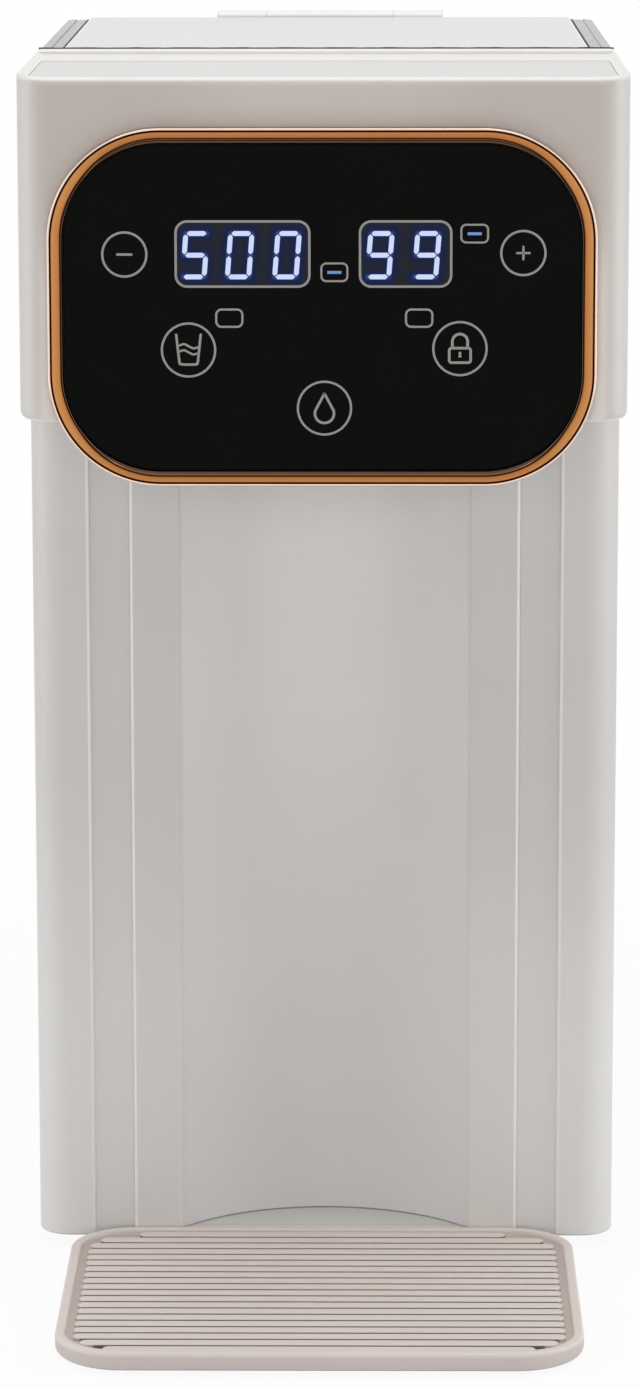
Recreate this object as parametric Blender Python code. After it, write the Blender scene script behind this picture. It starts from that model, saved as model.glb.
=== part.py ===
"""Instant hot water dispenser: a slim countertop machine with a touch panel, a lift-off tank and a drip tray.

Units are metres and +Z is up. The origin is on the table, under the middle of the machine's overall
depth. The machine faces -Y. Each physical piece is one object; hidden wire objects only cut or join.
"""

import math

import bmesh
import bpy
from mathutils import Matrix, Vector

for leftover in list(bpy.data.objects):
    bpy.data.objects.remove(leftover, do_unlink=True)

# Overall sizes
WIDTH = 0.175
BODY_DEPTH = 0.262
TOWER_DEPTH = 0.1035
HEAD_OVERHANG = 0.045
HEAD_TOP = 0.358
HEAD_HEIGHT = 0.098
BASE_TOP = 0.110
FOOT_HEIGHT = 0.0042
TRAY_REACH = 0.0768
HINGE_OVERHANG = 0.003

# Mouldings in general
WALL = 0.0025
CORNER_RADIUS = 0.010
SHARP_RADIUS = 0.0012
FIT = 0.0003
CUT_OVERRUN = 0.012
JOIN_OVERLAP = 0.001

# Places that follow from the overall sizes
HALF_WIDTH = WIDTH / 2
HEAD_BOTTOM = HEAD_TOP - HEAD_HEIGHT
HEAD_FRONT = -(BODY_DEPTH + HINGE_OVERHANG - TRAY_REACH) / 2
COLUMN_FRONT = HEAD_FRONT + HEAD_OVERHANG
TOWER_BACK = HEAD_FRONT + TOWER_DEPTH
BODY_BACK = HEAD_FRONT + BODY_DEPTH
BODY_BOTTOM = FOOT_HEIGHT
INNER_HALF_WIDTH = HALF_WIDTH - WALL

# Front column with its side channels and the concave cup niche
BOTTOM_ROUND = 0.003
CHANNEL_WIDTH = 0.0134
CHANNEL_DEPTH = 0.0016
WING_WIDTH = 0.0142
INSERT_LEDGE = 0.0055
NICHE_HALF_WIDTH = 0.0429
NICHE_RADIUS = 0.052
NICHE_STEPS = 18
INSERT_EDGE = 0.0007

# Service cover behind the tower, and its screws
COVER_THICKNESS = 0.003
COVER_BOSS_WIDTH = 0.009
COVER_BOSS_DEPTH = 0.010
COVER_SCREW_INSET = 0.0045
COVER_SCREW_RISE = 0.018
COVER_SCREW_BELOW_HEAD = 0.024
COVER_SCREW_DROP = 0.028
COVER_COUNTERBORE = 0.0018

# Head shell, its top plate and its raised back rim
HEAD_TOP_ROUND = 0.003
HEAD_BOTTOM_ROUND = 0.0025
TOP_PLATE_MARGIN = 0.0033
TOP_PLATE_DEPTH = 0.066
TOP_PLATE_THICKNESS = 0.0015
RIM_RISE = 0.0019
RIM_SETBACK = 0.0945
RIM_SIDE_INSET = 0.0007
RIM_SINK = 0.002
RIM_EDGE = 0.0012
TOP_PLATE_LEDGE = 0.004
TOP_PLATE_EDGE = 0.0003
TOP_PLATE_BACK_RADIUS = 0.003
FLOOR_THICKNESS = 0.0025

# Touch panel that stands on the head's front and hangs below it
PANEL_MARGIN = 0.0088
PANEL_DROP = 0.0133
PANEL_HEIGHT = 0.1032
PANEL_CORNER = 0.028
TRIM_WIDTH = 0.0038
TRIM_RISE = 0.0042
TRIM_BEAD = 0.0020
TRIM_GROOVE = 0.0004
GLASS_THICKNESS = 0.0018
GLASS_SETBACK = 0.0006
GLASS_CHAMFER = 0.0004
FRAME_THICKNESS = 0.0012
CARRIER_MARGIN = 0.0167
CARRIER_DROP = 0.0167
CARRIER_RISE = 0.009
CARRIER_DEPTH = 0.007
CARRIER_WALL = 0.0015
BOARD_THICKNESS = 0.0016
DISPLAY_DROP = 0.0360
DISPLAY_HEIGHT = 0.0186
VOLUME_DISPLAY_CENTRE = -0.0230
VOLUME_DISPLAY_WIDTH = 0.0376
HEAT_DISPLAY_CENTRE = 0.02335
HEAT_DISPLAY_WIDTH = 0.0256
TOUCH_SPRING_RADIUS = 0.003
OUTER_KEY_INSET = 0.0053
OUTER_KEY_DROP = 0.0357
INNER_KEY_X = 0.0388
INNER_KEY_DROP = 0.0632
DISPENSE_KEY_DROP = 0.0802

# Chin under the head, and the spout in it
CHIN_WALL = 0.0022
SPOUT_SETBACK = 0.030
SPOUT_RADIUS = 0.008
SPOUT_TIP_RADIUS = 0.006
SPOUT_FLANGE_RADIUS = 0.0105
SPOUT_FLANGE_THICKNESS = 0.002
SPOUT_DROP = 0.004
SPOUT_TIP_TAPER = 0.002
CHIN_HANG = 0.012
CHIN_GAP = 0.0015
CHIN_BACK_RADIUS = 0.010

# Hoses and the barbs that they push onto
BARB_RADIUS = 0.0032
BARB_BORE = 0.0018
BARB_LENGTH = 0.011
HOSE_BORE = 0.0035
HOSE_RADIUS = 0.0052
HOSE_SIDES = 8
HOSE_STEPS = 2
INLET_HOSE_SWING = 0.036
BARB_RIDGE = 0.0004

# Bottom pan and its rubber feet
PAN_THICKNESS = 0.0018
FOOT_INSET = 0.0195
FOOT_FRONT_SETBACK = 0.066
FOOT_BACK_INSET = 0.016
FOOT_RADIUS = 0.008
FOOT_TAPER = 0.001
FOOT_STEM_RADIUS = 0.0025
FOOT_STEM_RISE = 0.003
PAN_BOSS_SIZE = 0.009
PAN_BOSS_HEIGHT = 0.020
PAN_SCREW_FRONT_SETBACK = 0.082
PAN_SCREW_BACK_INSET = 0.034
VENT_COUNT = 7
VENT_PITCH = 0.0065
VENT_WIDTH = 0.002
VENT_LENGTH = 0.036

# Screws
SCREW_HEAD_RADIUS = 0.0029
SCREW_HOLE_RADIUS = 0.0017
SCREW_LENGTH = 0.008

# Water tank and its lid
TANK_FRONT_GAP = 0.0012
TANK_RIM_DROP = 0.0007
TANK_SIDE_INSET = 0.0003
TANK_FLOOR = 0.003
TANK_BOTTOM_ROUND = 0.003
TANK_FLANGE = 0.007
TANK_SHELF_HEIGHT = 0.003
RAIL_WIDTH = 0.0072
RAIL_BEAD_WIDTH = 0.003
RAIL_STEP = 0.0006
RAIL_EDGE = 0.0006
TANK_FRONT_RADIUS = 0.003
TANK_SEAT_GAP = 0.0003
LID_THICKNESS = 0.0025
LID_RISE = 0.0020
LID_EDGE_ROUND = 0.0012
LID_SKIRT_DEPTH = 0.005
LID_SKIRT_WALL = 0.002
LID_SKIRT_GAP = 0.001
LID_BACK_SETBACK = 0.0040
LID_FRONT_SETBACK = 0.0005
HINGE_RADIUS = 0.0031
HINGE_HALF_WIDTH = 0.0375
HINGE_LUG_HALF_WIDTH = 0.021
HINGE_PIN_RADIUS = 0.0012
HINGE_CLEARANCE = 0.0005
HINGE_RISE = 0.0021
HINGE_WEB_DROP = 0.006

# Outlet valve in the tank's floor, and the socket that opens it
VALVE_SETBACK = 0.183
VALVE_SPIGOT_RADIUS = 0.0097
VALVE_SPIGOT_DROP = 0.012
VALVE_FLANGE_RADIUS = 0.014
VALVE_FLANGE_THICKNESS = 0.002
VALVE_BORE = 0.006
VALVE_SEAT_BORE = 0.0034
VALVE_SEAT_THICKNESS = 0.002
POPPET_RADIUS = 0.0052
POPPET_THICKNESS = 0.002
POPPET_STEM_RADIUS = 0.0018
POPPET_STEM_LENGTH = 0.008
SPRING_RADIUS = 0.0042
SPRING_WIRE_RADIUS = 0.0005
SPRING_TURNS = 4
SPRING_POINTS_PER_TURN = 8
SPRING_SIDES = 5
FILTER_HEIGHT = 0.007
FILTER_WALL = 0.0012
FILTER_RADIUS = 0.011
FILTER_SLOTS = 8
FILTER_SLOT_WIDTH = 0.002
SPIGOT_CHAMFER = 0.001
SOCKET_RADIUS = 0.0165
SOCKET_BORE_GAP = 0.0006
SOCKET_FLOOR = 0.0025
SOCKET_FLANGE_RADIUS = 0.021
SOCKET_FLANGE_THICKNESS = 0.002
SOCKET_BELOW_SPIGOT = 0.004
SOCKET_PIN_RADIUS = 0.0015
SEAL_WIRE_RADIUS = 0.0011
SEAL_SIDES = 6

# Level float in the tank
FLOAT_INSET = 0.0425
FLOAT_SETBACK = 0.145
FLOAT_RADIUS = 0.009
FLOAT_HEIGHT = 0.014
FLOAT_BORE = 0.0026
FLOAT_TRAVEL = 0.010
GUIDE_RADIUS = 0.002
GUIDE_FOOT_RADIUS = 0.006
GUIDE_FOOT_HEIGHT = 0.0015
GUIDE_CAP_HEIGHT = 0.002
GUIDE_CAP_RADIUS = 0.004

# Pump in the base
PUMP_INSET = 0.0425
PUMP_LEVEL = 0.036
PUMP_BACK_INSET = 0.072
PUMP_RADIUS = 0.021
PUMP_CHAMBER_RADIUS = 0.0172
PUMP_CHAMBER_DEPTH = 0.012
PUMP_BACK_WALL = 0.003
PUMP_COVER_THICKNESS = 0.003
MOTOR_RADIUS = 0.018
MOTOR_LENGTH = 0.040
MOTOR_SHAFT_RADIUS = 0.0015
IMPELLER_RADIUS = 0.0160
IMPELLER_DISC = 0.002
IMPELLER_BLADE_HEIGHT = 0.006
IMPELLER_BLADE_THICKNESS = 0.0014
IMPELLER_HUB_RADIUS = 0.0042
IMPELLER_BLADES = 6
IMPELLER_GAP = 0.0015
BLADE_STEPS = 3
BLADE_SWEEP = math.radians(50)
CRADLE_HALF_WIDTH = 0.015
CRADLE_THICKNESS = 0.006
CRADLE_HEIGHT = 0.016
CRADLE_REACH = 0.0094
CRADLE_PITCH = 0.020

# Flow heater in the column
HEATER_SETBACK = 0.0856
HEATER_RADIUS = 0.0125
HEATER_WALL = 0.0012
HEATER_RISE = 0.020
HEATER_BELOW_HEAD = 0.028
HEATER_CAP_HEIGHT = 0.006
HEATER_CAP_PLUG = 0.004
STRAP_THICKNESS = 0.001
STRAP_HEIGHT = 0.016
STRAP_HALF_WIDTH = 0.024
CUTOUT_RADIUS = 0.007
CUTOUT_THICKNESS = 0.004
CUTOUT_GAP = 0.010

# Steam separator in the head
SEPARATOR_RADIUS = 0.0135
SEPARATOR_WALL = 0.0016
SEPARATOR_HEIGHT = 0.032
SEPARATOR_FLANGE_RADIUS = 0.0145
SEPARATOR_LID = 0.002
SEPARATOR_RISE = 0.025
SEPARATOR_INLET_RISE = 0.016
SEPARATOR_POST_X = 0.0185
SEPARATOR_POST_RADIUS = 0.0035

# Power electronics on the pan
POWER_BOARD_INSET = 0.043
POWER_BOARD_WIDTH = 0.060
POWER_BOARD_BACK_INSET = 0.027
POWER_BOARD_LENGTH = 0.100
STANDOFF_HEIGHT = 0.009
STANDOFF_RADIUS = 0.003
STANDOFF_INSET = 0.005
TRANSFORMER_SIZE = (0.026, 0.030, 0.024)
RELAY_SIZE = (0.015, 0.019, 0.016)
HEATSINK_SIZE = (0.010, 0.044, 0.028)
HEATSINK_FIN = 0.0016
HEATSINK_FINS = 7
PART_MARGIN = 0.008

# Ribbon cable from the power board to the display board
RIBBON_X = 0.030
RIBBON_HALF_WIDTH = 0.004
RIBBON_THICKNESS = 0.001
RIBBON_PLUG_SIZE = (0.011, 0.006, 0.005)
RIBBON_BACK_SETBACK = 0.092
RIBBON_BEND = 0.008
RIBBON_RISE = 0.030
RIBBON_STEPS = 2

# Cord gland at the back
GLAND_INSET = 0.0325
GLAND_LEVEL = 0.030
GLAND_RADIUS = 0.007
GLAND_BORE = 0.0039
GLAND_FLANGE_RADIUS = 0.0095
GLAND_FLANGE_THICKNESS = 0.0025
GLAND_NUT_THICKNESS = 0.004

# Drip tray
TRAY_MARGIN = 0.0115
TRAY_CORNER = 0.020
TRAY_HEIGHT = 0.0060
TRAY_FLARE = 0.0036
TRAY_RIM = 0.0043
TRAY_RIM_ROUND = 0.0008
TRAY_FLOOR = 0.0014
TRAY_UNDERSIDE = 0.0010
TRAY_PAD_INSET = 0.0048
RIB_PITCH = 0.00575
RIB_WIDTH = 0.0042
RIB_TOP_CHAMFER = 0.0008
RIB_DROP = 0.0006
RIB_END_CHANNEL = 0.0047
RIB_COUNT = 20
TONGUE_HALF_WIDTH = 0.030
TONGUE_LENGTH = 0.018
TONGUE_THICKNESS = 0.002

# How finely round shapes are drawn
CORNER_STEPS = 5
SHARP_STEPS = 1
PANEL_CORNER_STEPS = 6
ROUND_STEPS = 2
TURN_STEPS = 14
SMALL_TURN_STEPS = 8
HOLE_STEPS = 8
SMOOTH_ANGLE = math.radians(35)

# Places that follow from the sizes above
INSERT_HALF_WIDTH = NICHE_HALF_WIDTH + WING_WIDTH
CHANNEL_HALF_WIDTH = INSERT_HALF_WIDTH + CHANNEL_WIDTH
COLUMN_TOP = HEAD_BOTTOM - FIT
CHANNEL_FLOOR = COLUMN_FRONT + CHANNEL_DEPTH
CAVITY_FRONT = CHANNEL_FLOOR + WALL
NICHE_CENTRE_Y = COLUMN_FRONT - math.sqrt(NICHE_RADIUS**2 - NICHE_HALF_WIDTH**2)
NICHE_BACK = NICHE_CENTRE_Y + NICHE_RADIUS
NICHE_WINDOW_HALF_WIDTH = INSERT_HALF_WIDTH - INSERT_LEDGE
PAN_TOP = BODY_BOTTOM + PAN_THICKNESS
SHELF_BOTTOM = BASE_TOP - WALL
COVER_FRONT = TOWER_BACK - COVER_THICKNESS
COLUMN_SCREW_LEVELS = (BASE_TOP + COVER_SCREW_RISE, HEAD_BOTTOM - COVER_SCREW_BELOW_HEAD)
HEAD_SCREW_LEVEL = HEAD_TOP - COVER_SCREW_DROP
ROOF_BOTTOM = HEAD_TOP - TOP_PLATE_THICKNESS - FIT - WALL
PANEL_HALF_WIDTH = HALF_WIDTH - PANEL_MARGIN
PANEL_TOP = HEAD_TOP - PANEL_DROP
PANEL_BOTTOM = PANEL_TOP - PANEL_HEIGHT
CARRIER_HALF_WIDTH = PANEL_HALF_WIDTH - CARRIER_MARGIN
OUTER_KEY_X = CARRIER_HALF_WIDTH - OUTER_KEY_INSET
CARRIER_TOP = PANEL_TOP - CARRIER_DROP
CARRIER_BOTTOM = PANEL_BOTTOM + CARRIER_RISE
DISPLAY_LEVEL = PANEL_TOP - DISPLAY_DROP
GLASS_FRONT = HEAD_FRONT - TRIM_RISE + GLASS_SETBACK
GLASS_BACK = GLASS_FRONT + GLASS_THICKNESS
CARRIER_BACK = HEAD_FRONT + CARRIER_DEPTH
BOARD_FRONT = CARRIER_BACK + FIT
DISPLAYS = ((VOLUME_DISPLAY_CENTRE, VOLUME_DISPLAY_WIDTH), (HEAT_DISPLAY_CENTRE, HEAT_DISPLAY_WIDTH))
CHIN_BOTTOM = HEAD_BOTTOM - CHIN_HANG
CHIN_FLOOR = CHIN_BOTTOM + CHIN_WALL
CHIN_BACK = COLUMN_FRONT - CHIN_GAP
SPOUT_Y = HEAD_FRONT + SPOUT_SETBACK
SEPARATOR_BOTTOM = HEAD_BOTTOM + SEPARATOR_RISE
SEPARATOR_INLET_LEVEL = SEPARATOR_BOTTOM + SEPARATOR_INLET_RISE
HEATER_Y = HEAD_FRONT + HEATER_SETBACK
HEATER_BOTTOM = BASE_TOP + HEATER_RISE
HEATER_TOP = HEAD_BOTTOM - HEATER_BELOW_HEAD
STRAP_LEVEL = (HEATER_BOTTOM + HEATER_TOP) / 2
CUTOUT_STEP = STRAP_HEIGHT / 2 + CUTOUT_RADIUS + CUTOUT_GAP
FOOT_X = HALF_WIDTH - FOOT_INSET
TANK_FRONT = TOWER_BACK + TANK_FRONT_GAP
TANK_BOTTOM = BASE_TOP + TANK_SEAT_GAP
TANK_FLOOR_TOP = TANK_BOTTOM + TANK_FLOOR
LID_TOP = HEAD_TOP + LID_RISE
TANK_TOP = LID_TOP - TANK_RIM_DROP
LID_BACK = BODY_BACK - LID_BACK_SETBACK
LEDGE_TOP = LID_TOP - LID_THICKNESS - FIT
LEDGE_BOTTOM = LEDGE_TOP - TANK_SHELF_HEIGHT
HINGE_Y = BODY_BACK + HINGE_OVERHANG - HINGE_RADIUS
HINGE_LEVEL = LID_TOP + HINGE_RISE - HINGE_RADIUS
HINGE_PLACE = (0, HINGE_Y, HINGE_LEVEL)
VALVE_Y = HEAD_FRONT + VALVE_SETBACK
SPIGOT_RADIUS = VALVE_SPIGOT_RADIUS
SPIGOT_BOTTOM = TANK_BOTTOM - VALVE_SPIGOT_DROP
SEAT_LEVEL = SPIGOT_BOTTOM + VALVE_SEAT_THICKNESS
POPPET_BOTTOM = SEAT_LEVEL + FIT
SOCKET_BORE = VALVE_SPIGOT_RADIUS + SOCKET_BORE_GAP
SOCKET_BOTTOM = SPIGOT_BOTTOM - SOCKET_BELOW_SPIGOT - SOCKET_FLOOR
SEAL_RADIUS = SOCKET_BORE + FIT + SEAL_WIRE_RADIUS
FLOAT_X = HALF_WIDTH - FLOAT_INSET
FLOAT_Y = HEAD_FRONT + FLOAT_SETBACK
PUMP_X = PUMP_INSET - HALF_WIDTH
PUMP_FRONT = BODY_BACK - PUMP_BACK_INSET
CHAMBER_FRONT = PUMP_FRONT + PUMP_COVER_THICKNESS + FIT
CHAMBER_BACK = CHAMBER_FRONT + PUMP_CHAMBER_DEPTH
CHAMBER_MIDDLE = (CHAMBER_FRONT + CHAMBER_BACK) / 2
MOTOR_FRONT = CHAMBER_BACK + PUMP_BACK_WALL + FIT
MOTOR_BACK = MOTOR_FRONT + MOTOR_LENGTH
IMPELLER_FRONT = CHAMBER_BACK - IMPELLER_GAP - IMPELLER_DISC - IMPELLER_BLADE_HEIGHT
ROTOR_PLACE = (PUMP_X, MOTOR_FRONT, PUMP_LEVEL)
POWER_BOARD_X = HALF_WIDTH - POWER_BOARD_INSET
POWER_BOARD_BACK = BODY_BACK - POWER_BOARD_BACK_INSET
POWER_BOARD_FRONT = POWER_BOARD_BACK - POWER_BOARD_LENGTH
BOARD_BOTTOM = PAN_TOP + STANDOFF_HEIGHT + FIT
BOARD_TOP = BOARD_BOTTOM + BOARD_THICKNESS
RIBBON_TOP_LEVEL = HEAD_BOTTOM + RIBBON_RISE
GLAND_X = HALF_WIDTH - GLAND_INSET
TRAY_HALF_WIDTH = HALF_WIDTH - TRAY_MARGIN
TRAY_FRONT = HEAD_FRONT - TRAY_REACH
TRAY_BACK = COLUMN_FRONT - FIT
TRAY_FLOOR_TOP = TRAY_UNDERSIDE + TRAY_FLOOR

# Hose routes between their barbs, as shares of the way from one to the other, and of the swing forward
INLET_ROUTE_SHARES = ((0.06, 0.0, 0.45, 0.45), (0.42, 0.0, 0.86, 0.95), (0.88, 0.0, 1.0, 0.72))
RISER_ROUTE_SHARES = ((0.12, 0.22, 0.42, 0.0), (0.55, 0.62, 0.44, 0.0), (0.96, 0.98, 0.52, 0.0))
OUTLET_ROUTE_SHARES = ((0.0, 0.06, 0.55, 0.0), (0.0, 0.42, 0.95, 0.0))


def material(name, colour, roughness, metallic=0.0, alpha=1.0):
    """One plain finish: colour, roughness, metal and how much it lets light through."""
    made = bpy.data.materials.new(name)
    made.use_nodes = True
    shader = made.node_tree.nodes["Principled BSDF"]
    shader.inputs["Base Color"].default_value = (*colour, 1.0)
    shader.inputs["Roughness"].default_value = roughness
    shader.inputs["Metallic"].default_value = metallic
    shader.inputs["Alpha"].default_value = alpha
    made.diffuse_color = (*colour, alpha)
    return made


SHELL_PLASTIC = material("shell_plastic", (0.62, 0.59, 0.55), 0.42)
TRAY_PLASTIC = material("tray_plastic", (0.55, 0.50, 0.47), 0.50)
LID_PLASTIC = material("lid_plastic", (0.74, 0.74, 0.73), 0.35)
SMOKED_PLASTIC = material("smoked_plastic", (0.30, 0.31, 0.31), 0.12, alpha=0.55)
COPPER_TRIM = material("copper_trim", (0.80, 0.42, 0.20), 0.22, metallic=1.0)
BLACK_GLASS = material("black_glass", (0.008, 0.008, 0.008), 0.06)
BLACK_PLASTIC = material("black_plastic", (0.03, 0.03, 0.03), 0.45)
WHITE_PLASTIC = material("white_plastic", (0.70, 0.70, 0.68), 0.45)
RUBBER = material("rubber", (0.05, 0.05, 0.05), 0.80)
SILICONE = material("silicone", (0.66, 0.66, 0.64), 0.50)
STEEL = material("steel", (0.60, 0.60, 0.60), 0.28, metallic=1.0)
ALUMINIUM = material("aluminium", (0.65, 0.66, 0.67), 0.35, metallic=1.0)
BOARD_GREEN = material("board_green", (0.02, 0.16, 0.07), 0.45)
PART_BLUE = material("part_blue", (0.05, 0.13, 0.36), 0.45)
TAPE_YELLOW = material("tape_yellow", (0.70, 0.52, 0.08), 0.50)


def flat(u, v, w):
    """Outline in plan, thickness upwards."""
    return (u, v, w)


def upright(u, v, w):
    """Outline seen from the front, thickness backwards."""
    return (u, w, v)


def sideways(u, v, w):
    """Outline seen from the side, thickness to the right."""
    return (w, u, v)


def corner_steps(radius):
    """How many pieces a corner's arc is drawn in: a mere broken edge needs only one."""
    return SHARP_STEPS if radius <= SHARP_RADIUS else CORNER_STEPS


def rounded_outline(half_width, low, high, low_radius, high_radius, low_steps, high_steps):
    """Points round a rectangle from low to high, with an arc at each corner."""
    corners = (
        (half_width - high_radius, high - high_radius, high_radius, 0.0, high_steps),
        (high_radius - half_width, high - high_radius, high_radius, math.pi / 2, high_steps),
        (low_radius - half_width, low + low_radius, low_radius, math.pi, low_steps),
        (half_width - low_radius, low + low_radius, low_radius, 1.5 * math.pi, low_steps),
    )
    points = []
    for centre_u, centre_v, radius, start, steps in corners:
        for step in range(steps + 1):
            angle = start + math.pi / 2 * step / steps
            points.append((centre_u + radius * math.cos(angle), centre_v + radius * math.sin(angle)))
    return points


def plan_outline(half_width, front, back, front_radius=CORNER_RADIUS, back_radius=CORNER_RADIUS):
    """A function that gives the rounded rectangle, drawn in all round by an inset."""

    def at(inset=0.0):
        return rounded_outline(
            half_width - inset,
            front + inset,
            back - inset,
            max(front_radius - inset, SHARP_RADIUS / 2),
            max(back_radius - inset, SHARP_RADIUS / 2),
            corner_steps(front_radius),
            corner_steps(back_radius),
        )

    return at


def rounded_levels(low, high, low_round, high_round):
    """Heights and insets of the rings of a block whose end edges are quarter rounds."""
    levels = []
    for step in range(ROUND_STEPS + 1 if low_round else 1):
        angle = math.pi / 2 * step / ROUND_STEPS
        levels.append((low + low_round * (1 - math.cos(angle)), low_round * (1 - math.sin(angle))))
    for step in range(ROUND_STEPS + 1 if high_round else 1):
        angle = math.pi / 2 * step / ROUND_STEPS
        levels.append((high - high_round * (1 - math.sin(angle)), high_round * (1 - math.cos(angle))))
    return levels


def add_loft(bm, rings, closed=False):
    """Bridges rings of equally many points; ends are capped, or the last ring meets the first."""
    loops = [[bm.verts.new(point) for point in ring] for ring in rings]
    pairs = list(zip(loops, loops[1:]))
    if closed:
        pairs.append((loops[-1], loops[0]))
    for lower, upper in pairs:
        for k, corner in enumerate(lower):
            after = (k + 1) % len(lower)
            bm.faces.new((corner, lower[after], upper[after], upper[k]))
    if not closed:
        bm.faces.new(list(reversed(loops[0])))
        bm.faces.new(loops[-1])


def add_block(bm, outline_at, low, high, low_round=0.0, high_round=0.0, place=flat):
    """A slab of the outline's shape, with rounded end edges."""
    levels = rounded_levels(low, high, low_round, high_round)
    add_loft(bm, [[place(u, v, w) for u, v in outline_at(inset)] for w, inset in levels])


def add_prism(bm, points, low, high, place=flat):
    """A straight extrusion of a polygon."""
    add_loft(bm, [[place(u, v, w) for u, v in points] for w in (low, high)])


def add_box(bm, x_range, y_range, z_range):
    """A plain box between three pairs of limits."""
    (left, right), (front, back) = x_range, y_range
    add_prism(bm, [(left, front), (right, front), (right, back), (left, back)], *z_range)


def add_turned(bm, profile, centre, axis="Z", steps=TURN_STEPS, ring=False):
    """A profile of (radius, distance along the axis) turned a full circle about an axis through centre."""
    local = bmesh.new()
    corners = [local.verts.new((radius, 0.0, along)) for radius, along in profile]
    edges = [local.edges.new(pair) for pair in zip(corners, corners[1:])]
    if ring:
        edges.append(local.edges.new((corners[-1], corners[0])))
    whole = {"cent": (0, 0, 0), "axis": (0, 0, 1), "angle": 2 * math.pi}
    bmesh.ops.spin(local, geom=corners + edges, steps=steps, **whole)
    bmesh.ops.remove_doubles(local, verts=local.verts, dist=FIT / 100)
    turn = {
        "X": Matrix.Rotation(math.pi / 2, 4, "Y"),
        "Y": Matrix.Rotation(-math.pi / 2, 4, "X"),
        "Z": Matrix.Identity(4),
    }[axis]
    bmesh.ops.transform(local, matrix=Matrix.Translation(centre) @ turn, verts=local.verts)
    made = bpy.data.meshes.new("turned")
    local.to_mesh(made)
    local.free()
    bm.from_mesh(made)
    bpy.data.meshes.remove(made)


def add_rod(bm, radius, low, high, centre, axis="Z", steps=TURN_STEPS):
    """A plain cylinder between two distances along its axis."""
    add_turned(bm, [(0, low), (radius, low), (radius, high), (0, high)], centre, axis, steps)


def add_tube(bm, radius, bore, low, high, centre, axis="Z", steps=TURN_STEPS):
    """A plain sleeve between two distances along its axis."""
    add_turned(bm, [(bore, low), (radius, low), (radius, high), (bore, high)], centre, axis, steps, ring=True)


def smooth_path(points, steps):
    """A curve through hand-placed points, each span divided evenly."""
    places = [Vector(point) for point in points]
    padded = [2 * places[0] - places[1], *places, 2 * places[-1] - places[-2]]
    path = []
    for before, start, end, after in zip(padded, padded[1:], padded[2:], padded[3:]):
        for step in range(steps):
            t = step / steps
            path.append(
                (2 * start + (end - before) * t + (2 * before - 5 * start + 4 * end - after) * t**2
                 + (3 * start - before - 3 * end + after) * t**3) / 2
            )
    path.append(places[-1])
    return path


def rings_along(path, section, first_side):
    """A section of (side, up) points carried along a path without twisting."""
    rings = []
    side = Vector(first_side).normalized()
    for k, point in enumerate(path):
        ahead = (path[min(k + 1, len(path) - 1)] - path[max(k - 1, 0)]).normalized()
        side = (side - ahead * side.dot(ahead)).normalized()
        up = ahead.cross(side)
        rings.append([point + side * u + up * v for u, v in section])
    return rings


def circle(radius, sides):
    """Points of a regular polygon round the section's centre."""
    angles = [2 * math.pi * k / sides for k in range(sides)]
    return [(radius * math.cos(angle), radius * math.sin(angle)) for angle in angles]


def add_hose(bm, path, first_side=(1, 0, 0)):
    """A hollow hose along a path, open at both ends."""
    outside = rings_along(path, circle(HOSE_RADIUS, HOSE_SIDES), first_side)
    inside = rings_along(path, circle(HOSE_BORE, HOSE_SIDES), first_side)
    add_loft(bm, outside + inside[::-1], closed=True)


def node(name, bm, finish):
    """Turns the collected shape into one named piece with its finish."""
    bmesh.ops.recalc_face_normals(bm, faces=bm.faces)
    mesh = bpy.data.meshes.new(name)
    bm.to_mesh(mesh)
    bm.free()
    mesh.materials.append(finish)
    mesh.shade_smooth()
    mesh.set_sharp_from_angle(angle=SMOOTH_ANGLE)
    piece = bpy.data.objects.new(name, mesh)
    bpy.context.scene.collection.objects.link(piece)
    return piece


def shape(add, *values, **named):
    """A bmesh holding one shape made by one of the add functions."""
    bm = bmesh.new()
    add(bm, *values, **named)
    return bm


def work(piece, operation, bm):
    """Cuts a hidden shape from a piece, or joins it on."""
    tool = node(f"{operation.lower()}_tool", bm, piece.data.materials[0])
    tool.hide_render = True
    tool.display_type = "WIRE"
    step = piece.modifiers.new(tool.name, "BOOLEAN")
    step.operation = operation
    step.object = tool
    step.solver = "EXACT"


def cut(piece, bm):
    """Takes a hidden shape away from a piece."""
    work(piece, "DIFFERENCE", bm)


def join(piece, bm):
    """Adds a hidden shape to a piece."""
    work(piece, "UNION", bm)


def set_origin(piece, place):
    """Puts a moving piece's origin on its joint without moving its shape."""
    piece.data.transform(Matrix.Translation(-Vector(place)))
    piece.location = place


def barb_profile(root, direction):
    """Outline of a hose barb from its root to its tip: a neck and a ridge that narrows to the tip."""
    tip = root + direction * BARB_LENGTH
    ridge = tip - direction * BARB_LENGTH / 3
    neck = BARB_RADIUS - BARB_RIDGE
    return [(neck, root), (neck, ridge), (BARB_RADIUS, ridge), (neck, tip)]


def hose_start(root, direction):
    """Three points in line over a barb, from its root to just past its tip."""
    root, direction = Vector(root), Vector(direction)
    return [root + direction * reach for reach in (FIT, BARB_LENGTH, BARB_LENGTH + HOSE_RADIUS)]


def hose_between(name, start, start_direction, end, end_direction, shares=(), swing=0.0):
    """A silicone hose pushed over two barbs, with a route between them in shares of the way."""
    first = hose_start(start, start_direction)
    last = hose_start(end, end_direction)
    way = last[-1] - first[-1]
    between = []
    for x_share, y_share, z_share, swing_share in shares:
        step = Vector((x_share * way.x, y_share * way.y - swing_share * swing, z_share * way.z))
        between.append(first[-1] + step)
    curve = smooth_path(first[1:] + between + last[:0:-1], HOSE_STEPS)
    return node(name, shape(add_hose, [first[0], *curve, last[0]]), SILICONE)


# Body housing and what closes it


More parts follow.
